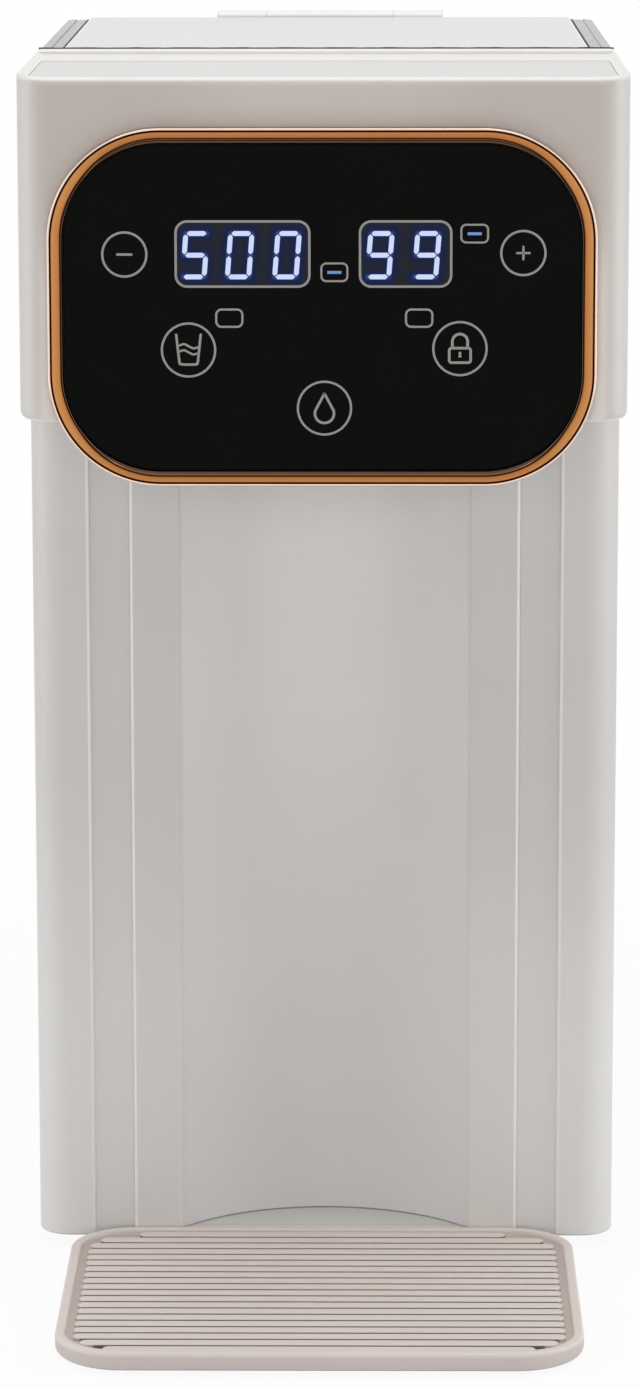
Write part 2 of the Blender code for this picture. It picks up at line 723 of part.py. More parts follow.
def make_body_shell():
    """Column and base in one moulding, open below, behind the column and where the niche stands."""
    footprint = plan_outline(HALF_WIDTH, COLUMN_FRONT, BODY_BACK)
    block = shape(add_block, footprint, BODY_BOTTOM, COLUMN_TOP, BOTTOM_ROUND)
    shell = node("body_shell", block, SHELL_PLASTIC)
    above_base = (BASE_TOP, HEAD_TOP)
    cut(shell, shape(add_box, (-WIDTH, WIDTH), (TOWER_BACK, BODY_BACK + CUT_OVERRUN), above_base))
    inner_radius = CORNER_RADIUS - WALL
    column_room = plan_outline(INNER_HALF_WIDTH, CAVITY_FRONT, COVER_FRONT, inner_radius, SHARP_RADIUS)
    cut(shell, shape(add_block, column_room, BODY_BOTTOM - CUT_OVERRUN, HEAD_TOP))
    inner = (-INNER_HALF_WIDTH, INNER_HALF_WIDTH)
    cut(shell, shape(add_box, inner, (COVER_FRONT - SHARP_RADIUS, TOWER_BACK + CUT_OVERRUN), above_base))
    base_room = plan_outline(INNER_HALF_WIDTH, CAVITY_FRONT, BODY_BACK - WALL, inner_radius, inner_radius)
    cut(shell, shape(add_block, base_room, BODY_BOTTOM - CUT_OVERRUN, SHELF_BOTTOM))
    channel = (-CHANNEL_HALF_WIDTH, CHANNEL_HALF_WIDTH)
    before, below = COLUMN_FRONT - CUT_OVERRUN, BODY_BOTTOM - CUT_OVERRUN
    cut(shell, shape(add_box, channel, (before, CHANNEL_FLOOR), (below, HEAD_TOP)))
    window = (-NICHE_WINDOW_HALF_WIDTH, NICHE_WINDOW_HALF_WIDTH)
    cut(shell, shape(add_box, window, (before, CAVITY_FRONT + CUT_OVERRUN), (PAN_TOP, HEAD_TOP)))
    for level in COLUMN_SCREW_LEVELS:
        join(shell, cover_bosses(level))
    join(shell, pan_bosses())
    cut(shell, cover_screw_holes())
    cut(shell, pan_screw_holes())
    socket_hole = (SHELF_BOTTOM - CUT_OVERRUN, HEAD_TOP)
    cut(shell, shape(add_rod, SOCKET_RADIUS + FIT, *socket_hole, (0, VALVE_Y, 0)))
    gland_hole = (GLAND_X, BODY_BACK, GLAND_LEVEL)
    cut(shell, shape(add_rod, GLAND_RADIUS + FIT, -CUT_OVERRUN, CUT_OVERRUN, gland_hole, axis="Y"))


def cover_bosses(level):
    """The pair of screw bosses on the side walls at one level, just in front of the service cover."""
    bm = bmesh.new()
    depth = (COVER_FRONT - FIT - COVER_BOSS_DEPTH, COVER_FRONT - FIT)
    height = (level - COVER_BOSS_WIDTH / 2, level + COVER_BOSS_WIDTH / 2)
    inside, outside = INNER_HALF_WIDTH - COVER_BOSS_WIDTH, INNER_HALF_WIDTH + JOIN_OVERLAP
    add_box(bm, (inside, outside), depth, height)
    add_box(bm, (-outside, -inside), depth, height)
    return bm


def cover_screw_places():
    """Where the service cover's screw heads sit."""
    seat = TOWER_BACK - COVER_COUNTERBORE
    reach = INNER_HALF_WIDTH - COVER_SCREW_INSET
    levels = (*COLUMN_SCREW_LEVELS, HEAD_SCREW_LEVEL)
    return [(x, seat, level) for level in levels for x in (-reach, reach)]


def cover_screw_holes():
    """Clearance for the service cover's screws."""
    bm = bmesh.new()
    for place in cover_screw_places():
        add_rod(bm, SCREW_HOLE_RADIUS, -SCREW_LENGTH - FIT, CUT_OVERRUN, place, "Y", HOLE_STEPS)
    return bm


def pan_screw_places():
    """Where the bottom pan's screw heads sit."""
    reach = INNER_HALF_WIDTH - PAN_BOSS_SIZE / 2
    rows = (HEAD_FRONT + PAN_SCREW_FRONT_SETBACK, BODY_BACK - PAN_SCREW_BACK_INSET)
    return [(x, y, BODY_BOTTOM - FIT) for y in rows for x in (-reach, reach)]


def pan_bosses():
    """Four screw posts on the side walls, standing on the bottom pan."""
    bm = bmesh.new()
    half = PAN_BOSS_SIZE / 2
    for x, y, _ in pan_screw_places():
        outer = math.copysign(INNER_HALF_WIDTH + JOIN_OVERLAP, x)
        inner = math.copysign(INNER_HALF_WIDTH - PAN_BOSS_SIZE, x)
        limits = (min(inner, outer), max(inner, outer))
        add_box(bm, limits, (y - half, y + half), (PAN_TOP + FIT, PAN_TOP + PAN_BOSS_HEIGHT))
    return bm


def pan_screw_holes():
    """Clearance for the bottom pan's screws."""
    bm = bmesh.new()
    for place in pan_screw_places():
        add_rod(bm, SCREW_HOLE_RADIUS, -CUT_OVERRUN, SCREW_LENGTH + FIT, place, "Z", HOLE_STEPS)
    return bm


def foot_places():
    """Centres of the four rubber feet on the table."""
    rows = (HEAD_FRONT + FOOT_FRONT_SETBACK, BODY_BACK - FOOT_BACK_INSET)
    return [(x, y, 0) for y in rows for x in (-FOOT_X, FOOT_X)]


def standoff_places():
    """Centres of the four posts under the power board."""
    reach = POWER_BOARD_WIDTH / 2 - STANDOFF_INSET
    rows = (POWER_BOARD_FRONT + STANDOFF_INSET, POWER_BOARD_BACK - STANDOFF_INSET)
    return [(POWER_BOARD_X + x, y, 0) for y in rows for x in (-reach, reach)]


def make_bottom_pan():
    """Floor of the machine, with cooling slots, motor cradles and posts for the power board."""
    radius = CORNER_RADIUS - WALL - FIT
    front, back = CAVITY_FRONT + FIT, BODY_BACK - WALL - FIT
    outline = plan_outline(INNER_HALF_WIDTH - FIT, front, back, radius, radius)
    pan = node("bottom_pan", shape(add_block, outline, BODY_BOTTOM, PAN_TOP), SHELL_PLASTIC)
    posts, sunk = bmesh.new(), PAN_TOP - PAN_THICKNESS / 2
    for place in standoff_places():
        add_rod(posts, STANDOFF_RADIUS, sunk, PAN_TOP + STANDOFF_HEIGHT, place, "Z", HOLE_STEPS)
    for centre in (MOTOR_FRONT + CRADLE_REACH, MOTOR_FRONT + CRADLE_REACH + CRADLE_PITCH):
        limits = (PUMP_X - CRADLE_HALF_WIDTH, PUMP_X + CRADLE_HALF_WIDTH)
        depth = (centre - CRADLE_THICKNESS / 2, centre + CRADLE_THICKNESS / 2)
        add_box(posts, limits, depth, (sunk, PAN_TOP + CRADLE_HEIGHT))
    join(pan, posts)
    hollow = shape(add_rod, MOTOR_RADIUS + FIT, MOTOR_FRONT, MOTOR_BACK, (PUMP_X, 0, PUMP_LEVEL), axis="Y")
    cut(pan, hollow)
    cut(pan, pan_screw_holes())
    holes = bmesh.new()
    for place in foot_places():
        add_rod(holes, FOOT_STEM_RADIUS + FIT, -CUT_OVERRUN, PAN_TOP + CUT_OVERRUN, place, "Z", HOLE_STEPS)
    for place in standoff_places():
        depth = (BOARD_BOTTOM - SCREW_LENGTH, HEAD_TOP)
        add_rod(holes, SCREW_HOLE_RADIUS, *depth, place, "Z", HOLE_STEPS)
    cut(pan, holes)
    slots = bmesh.new()
    for k in range(VENT_COUNT):
        x = POWER_BOARD_X + (k - (VENT_COUNT - 1) / 2) * VENT_PITCH
        middle = (POWER_BOARD_FRONT + POWER_BOARD_BACK) / 2
        depth = (middle - VENT_LENGTH / 2, middle + VENT_LENGTH / 2)
        add_box(slots, (x - VENT_WIDTH / 2, x + VENT_WIDTH / 2), depth, (0, PAN_TOP + CUT_OVERRUN))
    cut(pan, slots)


def make_feet():
    """Four rubber feet whose stems push into the pan."""
    for number, place in enumerate(foot_places(), start=1):
        profile = [
            (0, 0),
            (FOOT_RADIUS - FOOT_TAPER, 0),
            (FOOT_RADIUS, FOOT_HEIGHT / 2),
            (FOOT_RADIUS, FOOT_HEIGHT - FIT),
            (FOOT_STEM_RADIUS, FOOT_HEIGHT - FIT),
            (FOOT_STEM_RADIUS, FOOT_HEIGHT + FOOT_STEM_RISE),
            (0, FOOT_HEIGHT + FOOT_STEM_RISE),
        ]
        node(f"foot_{number}", shape(add_turned, profile, place, steps=SMALL_TURN_STEPS), RUBBER)


def make_niche_panel():
    """Front insert: flat wings on the channel floor and a concave niche for the cup between them."""
    half, edge = INSERT_HALF_WIDTH, INSERT_EDGE
    wing_back = CHANNEL_FLOOR - FIT
    behind = niche_arc(NICHE_RADIUS + WALL, wing_back)
    inside = niche_arc(NICHE_RADIUS, COLUMN_FRONT)
    right = [(half - edge, COLUMN_FRONT), (half, COLUMN_FRONT + edge), (half, wing_back)]
    left = [(-x, y) for x, y in reversed(right)]
    outline = [*right, *behind, *left, *inside[::-1]]
    node("niche_panel", shape(add_prism, outline, PAN_TOP + FIT, COLUMN_TOP), SHELL_PLASTIC)


def niche_arc(radius, end_y):
    """Points from right to left along the niche's arc at a radius, between its two ends at a depth."""
    reach = math.acos((end_y - NICHE_CENTRE_Y) / radius)
    angles = [reach * (1 - 2 * k / NICHE_STEPS) for k in range(NICHE_STEPS + 1)]
    return [(radius * math.sin(angle), NICHE_CENTRE_Y + radius * math.cos(angle)) for angle in angles]


def make_service_cover():
    """Flat cover behind the column and the head, screwed to the bosses, with its screws sunk in."""
    low, high = BASE_TOP + FIT, ROOF_BOTTOM - FIT
    outline = plan_outline(INNER_HALF_WIDTH - FIT, low, high, SHARP_RADIUS, SHARP_RADIUS)
    sheet = shape(add_block, outline, COVER_FRONT, TOWER_BACK, place=upright)
    cover = node("service_cover", sheet, SHELL_PLASTIC)
    cut(cover, cover_screw_holes())
    sinks = bmesh.new()
    for place in cover_screw_places():
        add_rod(sinks, SCREW_HEAD_RADIUS + FIT, -FIT, CUT_OVERRUN, place, "Y", HOLE_STEPS)
    cut(cover, sinks)


# Head, its top plate and the chin below it


def make_head_shell():
    """Upper housing that overhangs the column, with openings for the panel, the chin and the cover."""
    outline = plan_outline(HALF_WIDTH, HEAD_FRONT, TOWER_BACK, CORNER_RADIUS, SHARP_RADIUS)
    head = node(
        "head_shell",
        shape(add_block, outline, HEAD_BOTTOM, HEAD_TOP, HEAD_BOTTOM_ROUND, HEAD_TOP_ROUND),
        SHELL_PLASTIC,
    )
    rim_half, rim_front = HALF_WIDTH - RIM_SIDE_INSET, HEAD_FRONT + RIM_SETBACK
    rim = plan_outline(rim_half, rim_front, TOWER_BACK, SHARP_RADIUS, SHARP_RADIUS)
    join(head, shape(add_block, rim, HEAD_TOP - RIM_SINK, HEAD_TOP + RIM_RISE, 0.0, RIM_EDGE))
    room_back, room_radius = TOWER_BACK + CUT_OVERRUN, CORNER_RADIUS - WALL
    room = plan_outline(INNER_HALF_WIDTH, HEAD_FRONT + WALL, room_back, room_radius, SHARP_RADIUS)
    cut(head, shape(add_block, room, HEAD_BOTTOM + FLOOR_THICKNESS, ROOF_BOTTOM))
    inner = (-INNER_HALF_WIDTH, INNER_HALF_WIDTH)
    through = (HEAD_BOTTOM - CUT_OVERRUN, HEAD_BOTTOM + FLOOR_THICKNESS + SHARP_RADIUS)
    cut(head, shape(add_box, inner, (NICHE_BACK + WALL, TOWER_BACK + CUT_OVERRUN), through))
    carrier = (-CARRIER_HALF_WIDTH - FIT, CARRIER_HALF_WIDTH + FIT)
    cut(head, shape(add_box, carrier, (HEAD_FRONT - CUT_OVERRUN, CHIN_BACK - CHIN_WALL), through))
    opening = (HEAD_FRONT - CUT_OVERRUN, HEAD_FRONT + WALL + SHARP_RADIUS)
    cut(head, shape(add_box, carrier, opening, (HEAD_BOTTOM - CUT_OVERRUN, CARRIER_TOP + FIT)))
    seat = top_plate_outline(0.0)
    cut(head, shape(add_block, seat, HEAD_TOP - TOP_PLATE_THICKNESS - FIT, HEAD_TOP + CUT_OVERRUN))
    hatch = top_plate_outline(TOP_PLATE_LEDGE)
    cut(head, shape(add_block, hatch, ROOF_BOTTOM - SHARP_RADIUS, HEAD_TOP + CUT_OVERRUN))
    join(head, cover_bosses(HEAD_SCREW_LEVEL))
    cut(head, cover_screw_holes())


def top_plate_outline(inset):
    """Outline of the plate on the head's top, drawn in by an inset."""
    front = HEAD_FRONT + TOP_PLATE_MARGIN + inset
    back = HEAD_FRONT + TOP_PLATE_MARGIN + TOP_PLATE_DEPTH - inset
    half = HALF_WIDTH - TOP_PLATE_MARGIN - inset
    return plan_outline(half, front, back, CORNER_RADIUS - TOP_PLATE_MARGIN, TOP_PLATE_BACK_RADIUS)


def make_top_plate():
    """Flush plate let into the head's top, over the hatch to the parts inside."""
    levels = (HEAD_TOP - TOP_PLATE_THICKNESS, HEAD_TOP, 0.0, TOP_PLATE_EDGE)
    node("top_plate", shape(add_block, top_plate_outline(FIT), *levels), SHELL_PLASTIC)


def make_chin_cover():
    """Tub under the head behind the panel, with the spout's hole and two posts for the separator."""
    half = CARRIER_HALF_WIDTH + FIT
    outside = plan_outline(half + CHIN_WALL, HEAD_FRONT, CHIN_BACK, SHARP_RADIUS, CHIN_BACK_RADIUS)
    chin = node(
        "chin_cover",
        shape(add_block, outside, CHIN_BOTTOM, HEAD_BOTTOM - FIT, CHIN_WALL / 2),
        SHELL_PLASTIC,
    )
    room = plan_outline(
        half, HEAD_FRONT - CUT_OVERRUN, CHIN_BACK - CHIN_WALL, SHARP_RADIUS, CHIN_BACK_RADIUS - CHIN_WALL
    )
    cut(chin, shape(add_block, room, CHIN_FLOOR, HEAD_BOTTOM + CUT_OVERRUN))
    posts = bmesh.new()
    for x in (-SEPARATOR_POST_X, SEPARATOR_POST_X):
        foot, top = CHIN_FLOOR - CHIN_WALL / 2, SEPARATOR_BOTTOM - FIT
        add_rod(posts, SEPARATOR_POST_RADIUS, foot, top, (x, SPOUT_Y, 0), "Z", SMALL_TURN_STEPS)
    join(chin, posts)
    hole = (CHIN_BOTTOM - CUT_OVERRUN, CHIN_FLOOR + CHIN_WALL)
    cut(chin, shape(add_rod, SPOUT_RADIUS + FIT, *hole, (0, SPOUT_Y, 0)))


# Touch panel


def panel_outline(inset=0.0):
    """Outline of the panel with its large round corners, drawn in by an inset."""
    half, low, high = PANEL_HALF_WIDTH - inset, PANEL_BOTTOM + inset, PANEL_TOP - inset
    radius = PANEL_CORNER - inset
    return rounded_outline(half, low, high, radius, radius, PANEL_CORNER_STEPS, PANEL_CORNER_STEPS)


def make_panel_trim():
    """Copper-coloured surround: a rounded outer bead, a fine groove and an inner lip."""
    front, back = HEAD_FRONT - TRIM_RISE, HEAD_FRONT - FIT
    section = [
        (0.0, back),
        (0.0, front + TRIM_BEAD / 2),
        (TRIM_BEAD / 4, front + TRIM_BEAD / 8),
        (TRIM_BEAD / 2, front),
        (TRIM_BEAD - TRIM_GROOVE, front + TRIM_GROOVE / 4),
        (TRIM_BEAD, front + TRIM_GROOVE),
        (TRIM_BEAD + TRIM_GROOVE, front + TRIM_GROOVE / 4),
        (TRIM_WIDTH - TRIM_GROOVE, front + TRIM_GROOVE / 4),
        (TRIM_WIDTH, front + TRIM_GROOVE),
        (TRIM_WIDTH, back),
    ]
    rings = [[(x, y, z) for x, z in panel_outline(inset)] for inset, y in section]
    node("panel_trim", shape(add_loft, rings, closed=True), COPPER_TRIM)


def make_panel_glass():
    """Black glass whose edge is chamfered all round."""
    rings = []
    edge = TRIM_WIDTH + FIT
    side = GLASS_FRONT + GLASS_CHAMFER
    for inset, y in ((edge + GLASS_CHAMFER, GLASS_FRONT), (edge, side), (edge, GLASS_BACK)):
        rings.append([(x, y, z) for x, z in panel_outline(inset)])
    node("panel_glass", shape(add_loft, rings), BLACK_GLASS)


def key_places():
    """Centres of the five touch keys on the panel."""
    outer = [(x, PANEL_TOP - OUTER_KEY_DROP) for x in (-OUTER_KEY_X, OUTER_KEY_X)]
    inner = [(x, PANEL_TOP - INNER_KEY_DROP) for x in (-INNER_KEY_X, INNER_KEY_X)]
    return [*outer, *inner, (0.0, PANEL_TOP - DISPENSE_KEY_DROP)]


def display_limits(centre, width, margin=0.0):
    """Left, right, bottom and top of one display window."""
    half_width, half_height = width / 2 + margin, DISPLAY_HEIGHT / 2 + margin
    across = (centre - half_width, centre + half_width)
    return across, (DISPLAY_LEVEL - half_height, DISPLAY_LEVEL + half_height)


def make_panel_frame():
    """Backing plate of the glass, with windows for the displays and keys, and a box wall behind it."""
    front, back = GLASS_BACK + FIT, HEAD_FRONT - FIT
    rings = [[(x, y, z) for x, z in panel_outline(TRIM_WIDTH + FIT)] for y in (front, back)]
    frame = node("panel_frame", shape(add_loft, rings), BLACK_PLASTIC)
    middle = (CARRIER_TOP + CARRIER_BOTTOM) / 2
    box = []
    for inset, y in ((0.0, back - FRAME_THICKNESS / 2), (0.0, CARRIER_BACK), (CARRIER_WALL, CARRIER_BACK),
                     (CARRIER_WALL, back - FRAME_THICKNESS / 2)):
        half, rise = CARRIER_HALF_WIDTH - inset, CARRIER_TOP - middle - inset
        corners = ((half, rise), (-half, rise), (-half, -rise), (half, -rise))
        box.append([(x, y, middle + z) for x, z in corners])
    join(frame, shape(add_loft, box, closed=True))
    windows = bmesh.new()
    for centre, width in DISPLAYS:
        across, upwards = display_limits(centre, width, FIT)
        add_box(windows, across, (front - CUT_OVERRUN, back + FRAME_THICKNESS), upwards)
    for x, z in key_places():
        place = (x, back, z)
        add_rod(windows, TOUCH_SPRING_RADIUS + FIT, -CUT_OVERRUN, FRAME_THICKNESS, place, "Y", HOLE_STEPS)
    cut(frame, windows)


def make_displays():
    """Two seven-segment display modules between the glass and their board."""
    for name, (centre, width) in zip(("volume_display", "temperature_display"), DISPLAYS):
        across, upwards = display_limits(centre, width)
        bm = bmesh.new()
        add_box(bm, across, (GLASS_BACK + FIT, BOARD_FRONT - FIT), upwards)
        node(name, bm, BLACK_PLASTIC)


def make_display_board():
    """Board on the back of the panel frame, with five sleeves that carry the touch signal to the glass."""
    half = CARRIER_HALF_WIDTH
    bm = bmesh.new()
    add_box(bm, (-half, half), (BOARD_FRONT, BOARD_FRONT + BOARD_THICKNESS), (CARRIER_BOTTOM, CARRIER_TOP))
    board = node("display_board", bm, BOARD_GREEN)
    sleeves = bmesh.new()
    low, high = GLASS_BACK + FIT, BOARD_FRONT + BOARD_THICKNESS / 2
    for x, z in key_places():
        add_tube(sleeves, TOUCH_SPRING_RADIUS, TOUCH_SPRING_RADIUS / 2, low, high, (x, 0, z), "Y", HOLE_STEPS)
    join(board, sleeves)


# Spout and steam separator


def make_spout():
    """Outlet nozzle: a flange on the chin's floor, a tapered tip below and a hose barb above."""
    flange_low = CHIN_FLOOR + FIT
    flange_high = flange_low + SPOUT_FLANGE_THICKNESS
    tip = CHIN_BOTTOM - SPOUT_DROP
    profile = [
        (BARB_BORE, flange_high + BARB_LENGTH),
        *barb_profile(flange_high, 1)[::-1],
        (SPOUT_FLANGE_RADIUS, flange_high),
        (SPOUT_FLANGE_RADIUS, flange_low),
        (SPOUT_RADIUS, flange_low),
        (SPOUT_RADIUS, tip + SPOUT_TIP_TAPER),
        (SPOUT_TIP_RADIUS, tip),
        (SPOUT_TIP_RADIUS / 2, tip),
        (SPOUT_TIP_RADIUS / 2, flange_low),
        (BARB_BORE, flange_high),
    ]
    node("spout", shape(add_turned, profile, (0, SPOUT_Y, 0), ring=True), WHITE_PLASTIC)


def make_separator():
    """Small vessel over the spout that lets steam settle, with ears on the chin's posts."""
    low, high = SEPARATOR_BOTTOM, SEPARATOR_BOTTOM + SEPARATOR_HEIGHT
    profile = [
        (SEPARATOR_RADIUS - SEPARATOR_WALL, high),
        (SEPARATOR_FLANGE_RADIUS, high),
        (SEPARATOR_FLANGE_RADIUS, high - SEPARATOR_WALL),
        (SEPARATOR_RADIUS, high - SEPARATOR_WALL),
        (SEPARATOR_RADIUS, low),
        *barb_profile(low, -1),
        (BARB_BORE, low - BARB_LENGTH),
        (BARB_BORE, low + SEPARATOR_WALL),
        (SEPARATOR_RADIUS - SEPARATOR_WALL, low + SEPARATOR_WALL),
    ]
    turned = shape(add_turned, profile, (0, SPOUT_Y, 0), ring=True)
    vessel = node("steam_separator", turned, WHITE_PLASTIC)
    ears = bmesh.new()
    for side in (-1, 1):
        near = side * (SEPARATOR_RADIUS - SEPARATOR_WALL)
        far = side * (SEPARATOR_POST_X + SEPARATOR_POST_RADIUS)
        depth = (SPOUT_Y - SEPARATOR_POST_RADIUS, SPOUT_Y + SEPARATOR_POST_RADIUS)
        add_box(ears, (min(near, far), max(near, far)), depth, (low, low + SEPARATOR_WALL))
    join(vessel, ears)
    inlet = (0, SPOUT_Y + SEPARATOR_RADIUS, SEPARATOR_INLET_LEVEL)
    sunk, neck = -SEPARATOR_WALL / 2, BARB_RADIUS - BARB_RIDGE
    root = [(0, sunk), (neck, sunk), *barb_profile(0, 1), (0, BARB_LENGTH)]
    join(vessel, shape(add_turned, root, inlet, "Y", SMALL_TURN_STEPS))
    bore = (-SEPARATOR_WALL - BARB_BORE, BARB_LENGTH + CUT_OVERRUN)
    cut(vessel, shape(add_rod, BARB_BORE, *bore, inlet, "Y", SMALL_TURN_STEPS))
    lid_low = high + FIT
    lid = [
        (0, lid_low),
        (SEPARATOR_FLANGE_RADIUS, lid_low),
        (SEPARATOR_FLANGE_RADIUS, lid_low + SEPARATOR_LID / 2),
        (SEPARATOR_RADIUS, lid_low + SEPARATOR_LID),
        (0, lid_low + SEPARATOR_LID),
    ]
    node("separator_lid", shape(add_turned, lid, (0, SPOUT_Y, 0)), WHITE_PLASTIC)


# Flow heater in the column


def make_heater():
    """Steel tube with a cap at each end, a strap on the service cover and two thermal cutouts."""
    axis = (0, HEATER_Y, 0)
    inner = HEATER_RADIUS - HEATER_WALL
    node("heater_tube", shape(add_tube, HEATER_RADIUS, inner, HEATER_BOTTOM, HEATER_TOP, axis), STEEL)
    for name, end, way in (("heater_lower_cap", HEATER_BOTTOM, -1), ("heater_upper_cap", HEATER_TOP, 1)):
        face = end + way * (FIT + HEATER_CAP_HEIGHT)
        profile = [
            (BARB_BORE, end - way * HEATER_CAP_PLUG),
            (inner - FIT, end - way * HEATER_CAP_PLUG),
            (inner - FIT, end + way * FIT),
            (HEATER_RADIUS, end + way * FIT),
            (HEATER_RADIUS, face - way * HEATER_WALL),
            (HEATER_RADIUS - HEATER_WALL, face),
            *barb_profile(face, way),
            (BARB_BORE, face + way * BARB_LENGTH),
        ]
        node(name, shape(add_turned, profile, axis, ring=True), WHITE_PLASTIC)
    ear_back, ear_front = COVER_FRONT - FIT, COVER_FRONT - FIT - STRAP_THICKNESS
    grip = HEATER_RADIUS + FIT
    outer = grip + STRAP_THICKNESS
    ear = [(outer, ear_front), (STRAP_HALF_WIDTH, ear_front), (STRAP_HALF_WIDTH, ear_back)]
    strap = [*[(-x, y) for x, y in reversed(ear)], *half_turn(outer, HEATER_Y), *ear]
    strap += [(grip, ear_back), *half_turn(grip, HEATER_Y)[::-1], (-grip, ear_back)]
    limits = (STRAP_LEVEL - STRAP_HEIGHT / 2, STRAP_LEVEL + STRAP_HEIGHT / 2)
    node("heater_strap", shape(add_prism, strap, *limits), STEEL)
    low, high = HEATER_RADIUS + FIT, HEATER_RADIUS + FIT + CUTOUT_THICKNESS
    for number, level in enumerate((STRAP_LEVEL - CUTOUT_STEP, STRAP_LEVEL + CUTOUT_STEP), start=1):
        disc = shape(add_rod, CUTOUT_RADIUS, low, high, (0, HEATER_Y, level), "X", SMALL_TURN_STEPS)
        node(f"thermal_cutout_{number}", disc, BLACK_PLASTIC)


def half_turn(radius, centre_y):
    """Points of a half circle from left to right round the front of a centre."""
    angles = [math.pi * (1 + k / (TURN_STEPS / 2)) for k in range(TURN_STEPS // 2 + 1)]
    return [(radius * math.cos(angle), centre_y + radius * math.sin(angle)) for angle in angles]


# Pump


def make_pump():
    """Centrifugal pump: cover with the inlet, housing with the outlet, impeller, shaft and motor."""
    centre = (PUMP_X, 0, PUMP_LEVEL)
    cover = [
        (BARB_BORE, PUMP_FRONT - BARB_LENGTH),
        *barb_profile(PUMP_FRONT, -1)[::-1],
        (PUMP_RADIUS, PUMP_FRONT),
        (PUMP_RADIUS, PUMP_FRONT + PUMP_COVER_THICKNESS),
        (BARB_BORE, PUMP_FRONT + PUMP_COVER_THICKNESS),
    ]
    node("pump_cover", shape(add_turned, cover, centre, "Y", ring=True), BLACK_PLASTIC)
    housing = [
        (PUMP_CHAMBER_RADIUS, CHAMBER_FRONT),
        (PUMP_RADIUS, CHAMBER_FRONT),
        (PUMP_RADIUS, CHAMBER_BACK + PUMP_BACK_WALL),
        (MOTOR_SHAFT_RADIUS + FIT, CHAMBER_BACK + PUMP_BACK_WALL),
        (MOTOR_SHAFT_RADIUS + FIT, CHAMBER_BACK),
        (PUMP_CHAMBER_RADIUS, CHAMBER_BACK),
    ]
    pump = node("pump_housing", shape(add_turned, housing, centre, "Y", ring=True), BLACK_PLASTIC)
    outlet = (PUMP_X, CHAMBER_MIDDLE, PUMP_LEVEL + PUMP_RADIUS)
    sunk = (PUMP_RADIUS - PUMP_CHAMBER_RADIUS) / 2
    collar = BARB_RADIUS + sunk
    barb = [(0, -sunk), (collar, -sunk), (collar, JOIN_OVERLAP), *barb_profile(JOIN_OVERLAP, 1)]
    barb.append((0, JOIN_OVERLAP + BARB_LENGTH))
    join(pump, shape(add_turned, barb, outlet, "Z", SMALL_TURN_STEPS))
    bore = (-PUMP_RADIUS / 2, BARB_LENGTH + CUT_OVERRUN)
    cut(pump, shape(add_rod, BARB_BORE, *bore, outlet, "Z", SMALL_TURN_STEPS))
    motor = [
        (0, MOTOR_FRONT + MOTOR_LENGTH / 2),
        (MOTOR_SHAFT_RADIUS + FIT, MOTOR_FRONT + MOTOR_LENGTH / 2),
        (MOTOR_SHAFT_RADIUS + FIT, MOTOR_FRONT),
        (MOTOR_RADIUS, MOTOR_FRONT),
        (MOTOR_RADIUS, MOTOR_BACK - PUMP_BACK_WALL),
        (MOTOR_RADIUS - PUMP_BACK_WALL, MOTOR_BACK),
        (0, MOTOR_BACK),
    ]
    node("pump_motor", shape(add_turned, motor, centre, "Y"), STEEL)
    shaft_ends = (IMPELLER_FRONT, MOTOR_FRONT + MOTOR_LENGTH / 2 - FIT)
    rod = shape(add_rod, MOTOR_SHAFT_RADIUS, *shaft_ends, centre, "Y", SMALL_TURN_STEPS)
    shaft = node("motor_shaft", rod, STEEL)
    set_origin(shaft, ROTOR_PLACE)
    disc_front = IMPELLER_FRONT + IMPELLER_BLADE_HEIGHT
    hub = [
        (MOTOR_SHAFT_RADIUS + FIT, IMPELLER_FRONT),
        (IMPELLER_HUB_RADIUS, IMPELLER_FRONT),
        (IMPELLER_HUB_RADIUS, disc_front),
        (IMPELLER_RADIUS, disc_front),
        (IMPELLER_RADIUS, disc_front + IMPELLER_DISC),
        (MOTOR_SHAFT_RADIUS + FIT, disc_front + IMPELLER_DISC),
    ]
    impeller = node("impeller", shape(add_turned, hub, centre, "Y", ring=True), WHITE_PLASTIC)
    join(impeller, impeller_blades(disc_front))
    set_origin(impeller, ROTOR_PLACE)


def impeller_blades(disc_front):
    """Blades swept back along a spiral from the hub to the rim, sunk a little into both."""
    bm = bmesh.new()
    start, end = IMPELLER_HUB_RADIUS - JOIN_OVERLAP, IMPELLER_RADIUS - FIT
    for k in range(IMPELLER_BLADES):
        edges = []
        for side in (-1, 1):
            edge = []
            for step in range(BLADE_STEPS + 1):
                share = step / BLADE_STEPS
                radius = start + (end - start) * share
                angle = 2 * math.pi * k / IMPELLER_BLADES + BLADE_SWEEP * share
                angle += side * IMPELLER_BLADE_THICKNESS / 2 / radius
                edge.append((PUMP_X + radius * math.cos(angle), PUMP_LEVEL + radius * math.sin(angle)))
            edges.append(edge)
        outline = edges[0] + edges[1][::-1]
        add_prism(bm, outline, IMPELLER_FRONT, disc_front + IMPELLER_DISC / 2, upright)
    return bm


# Tank socket in the base, and the hoses


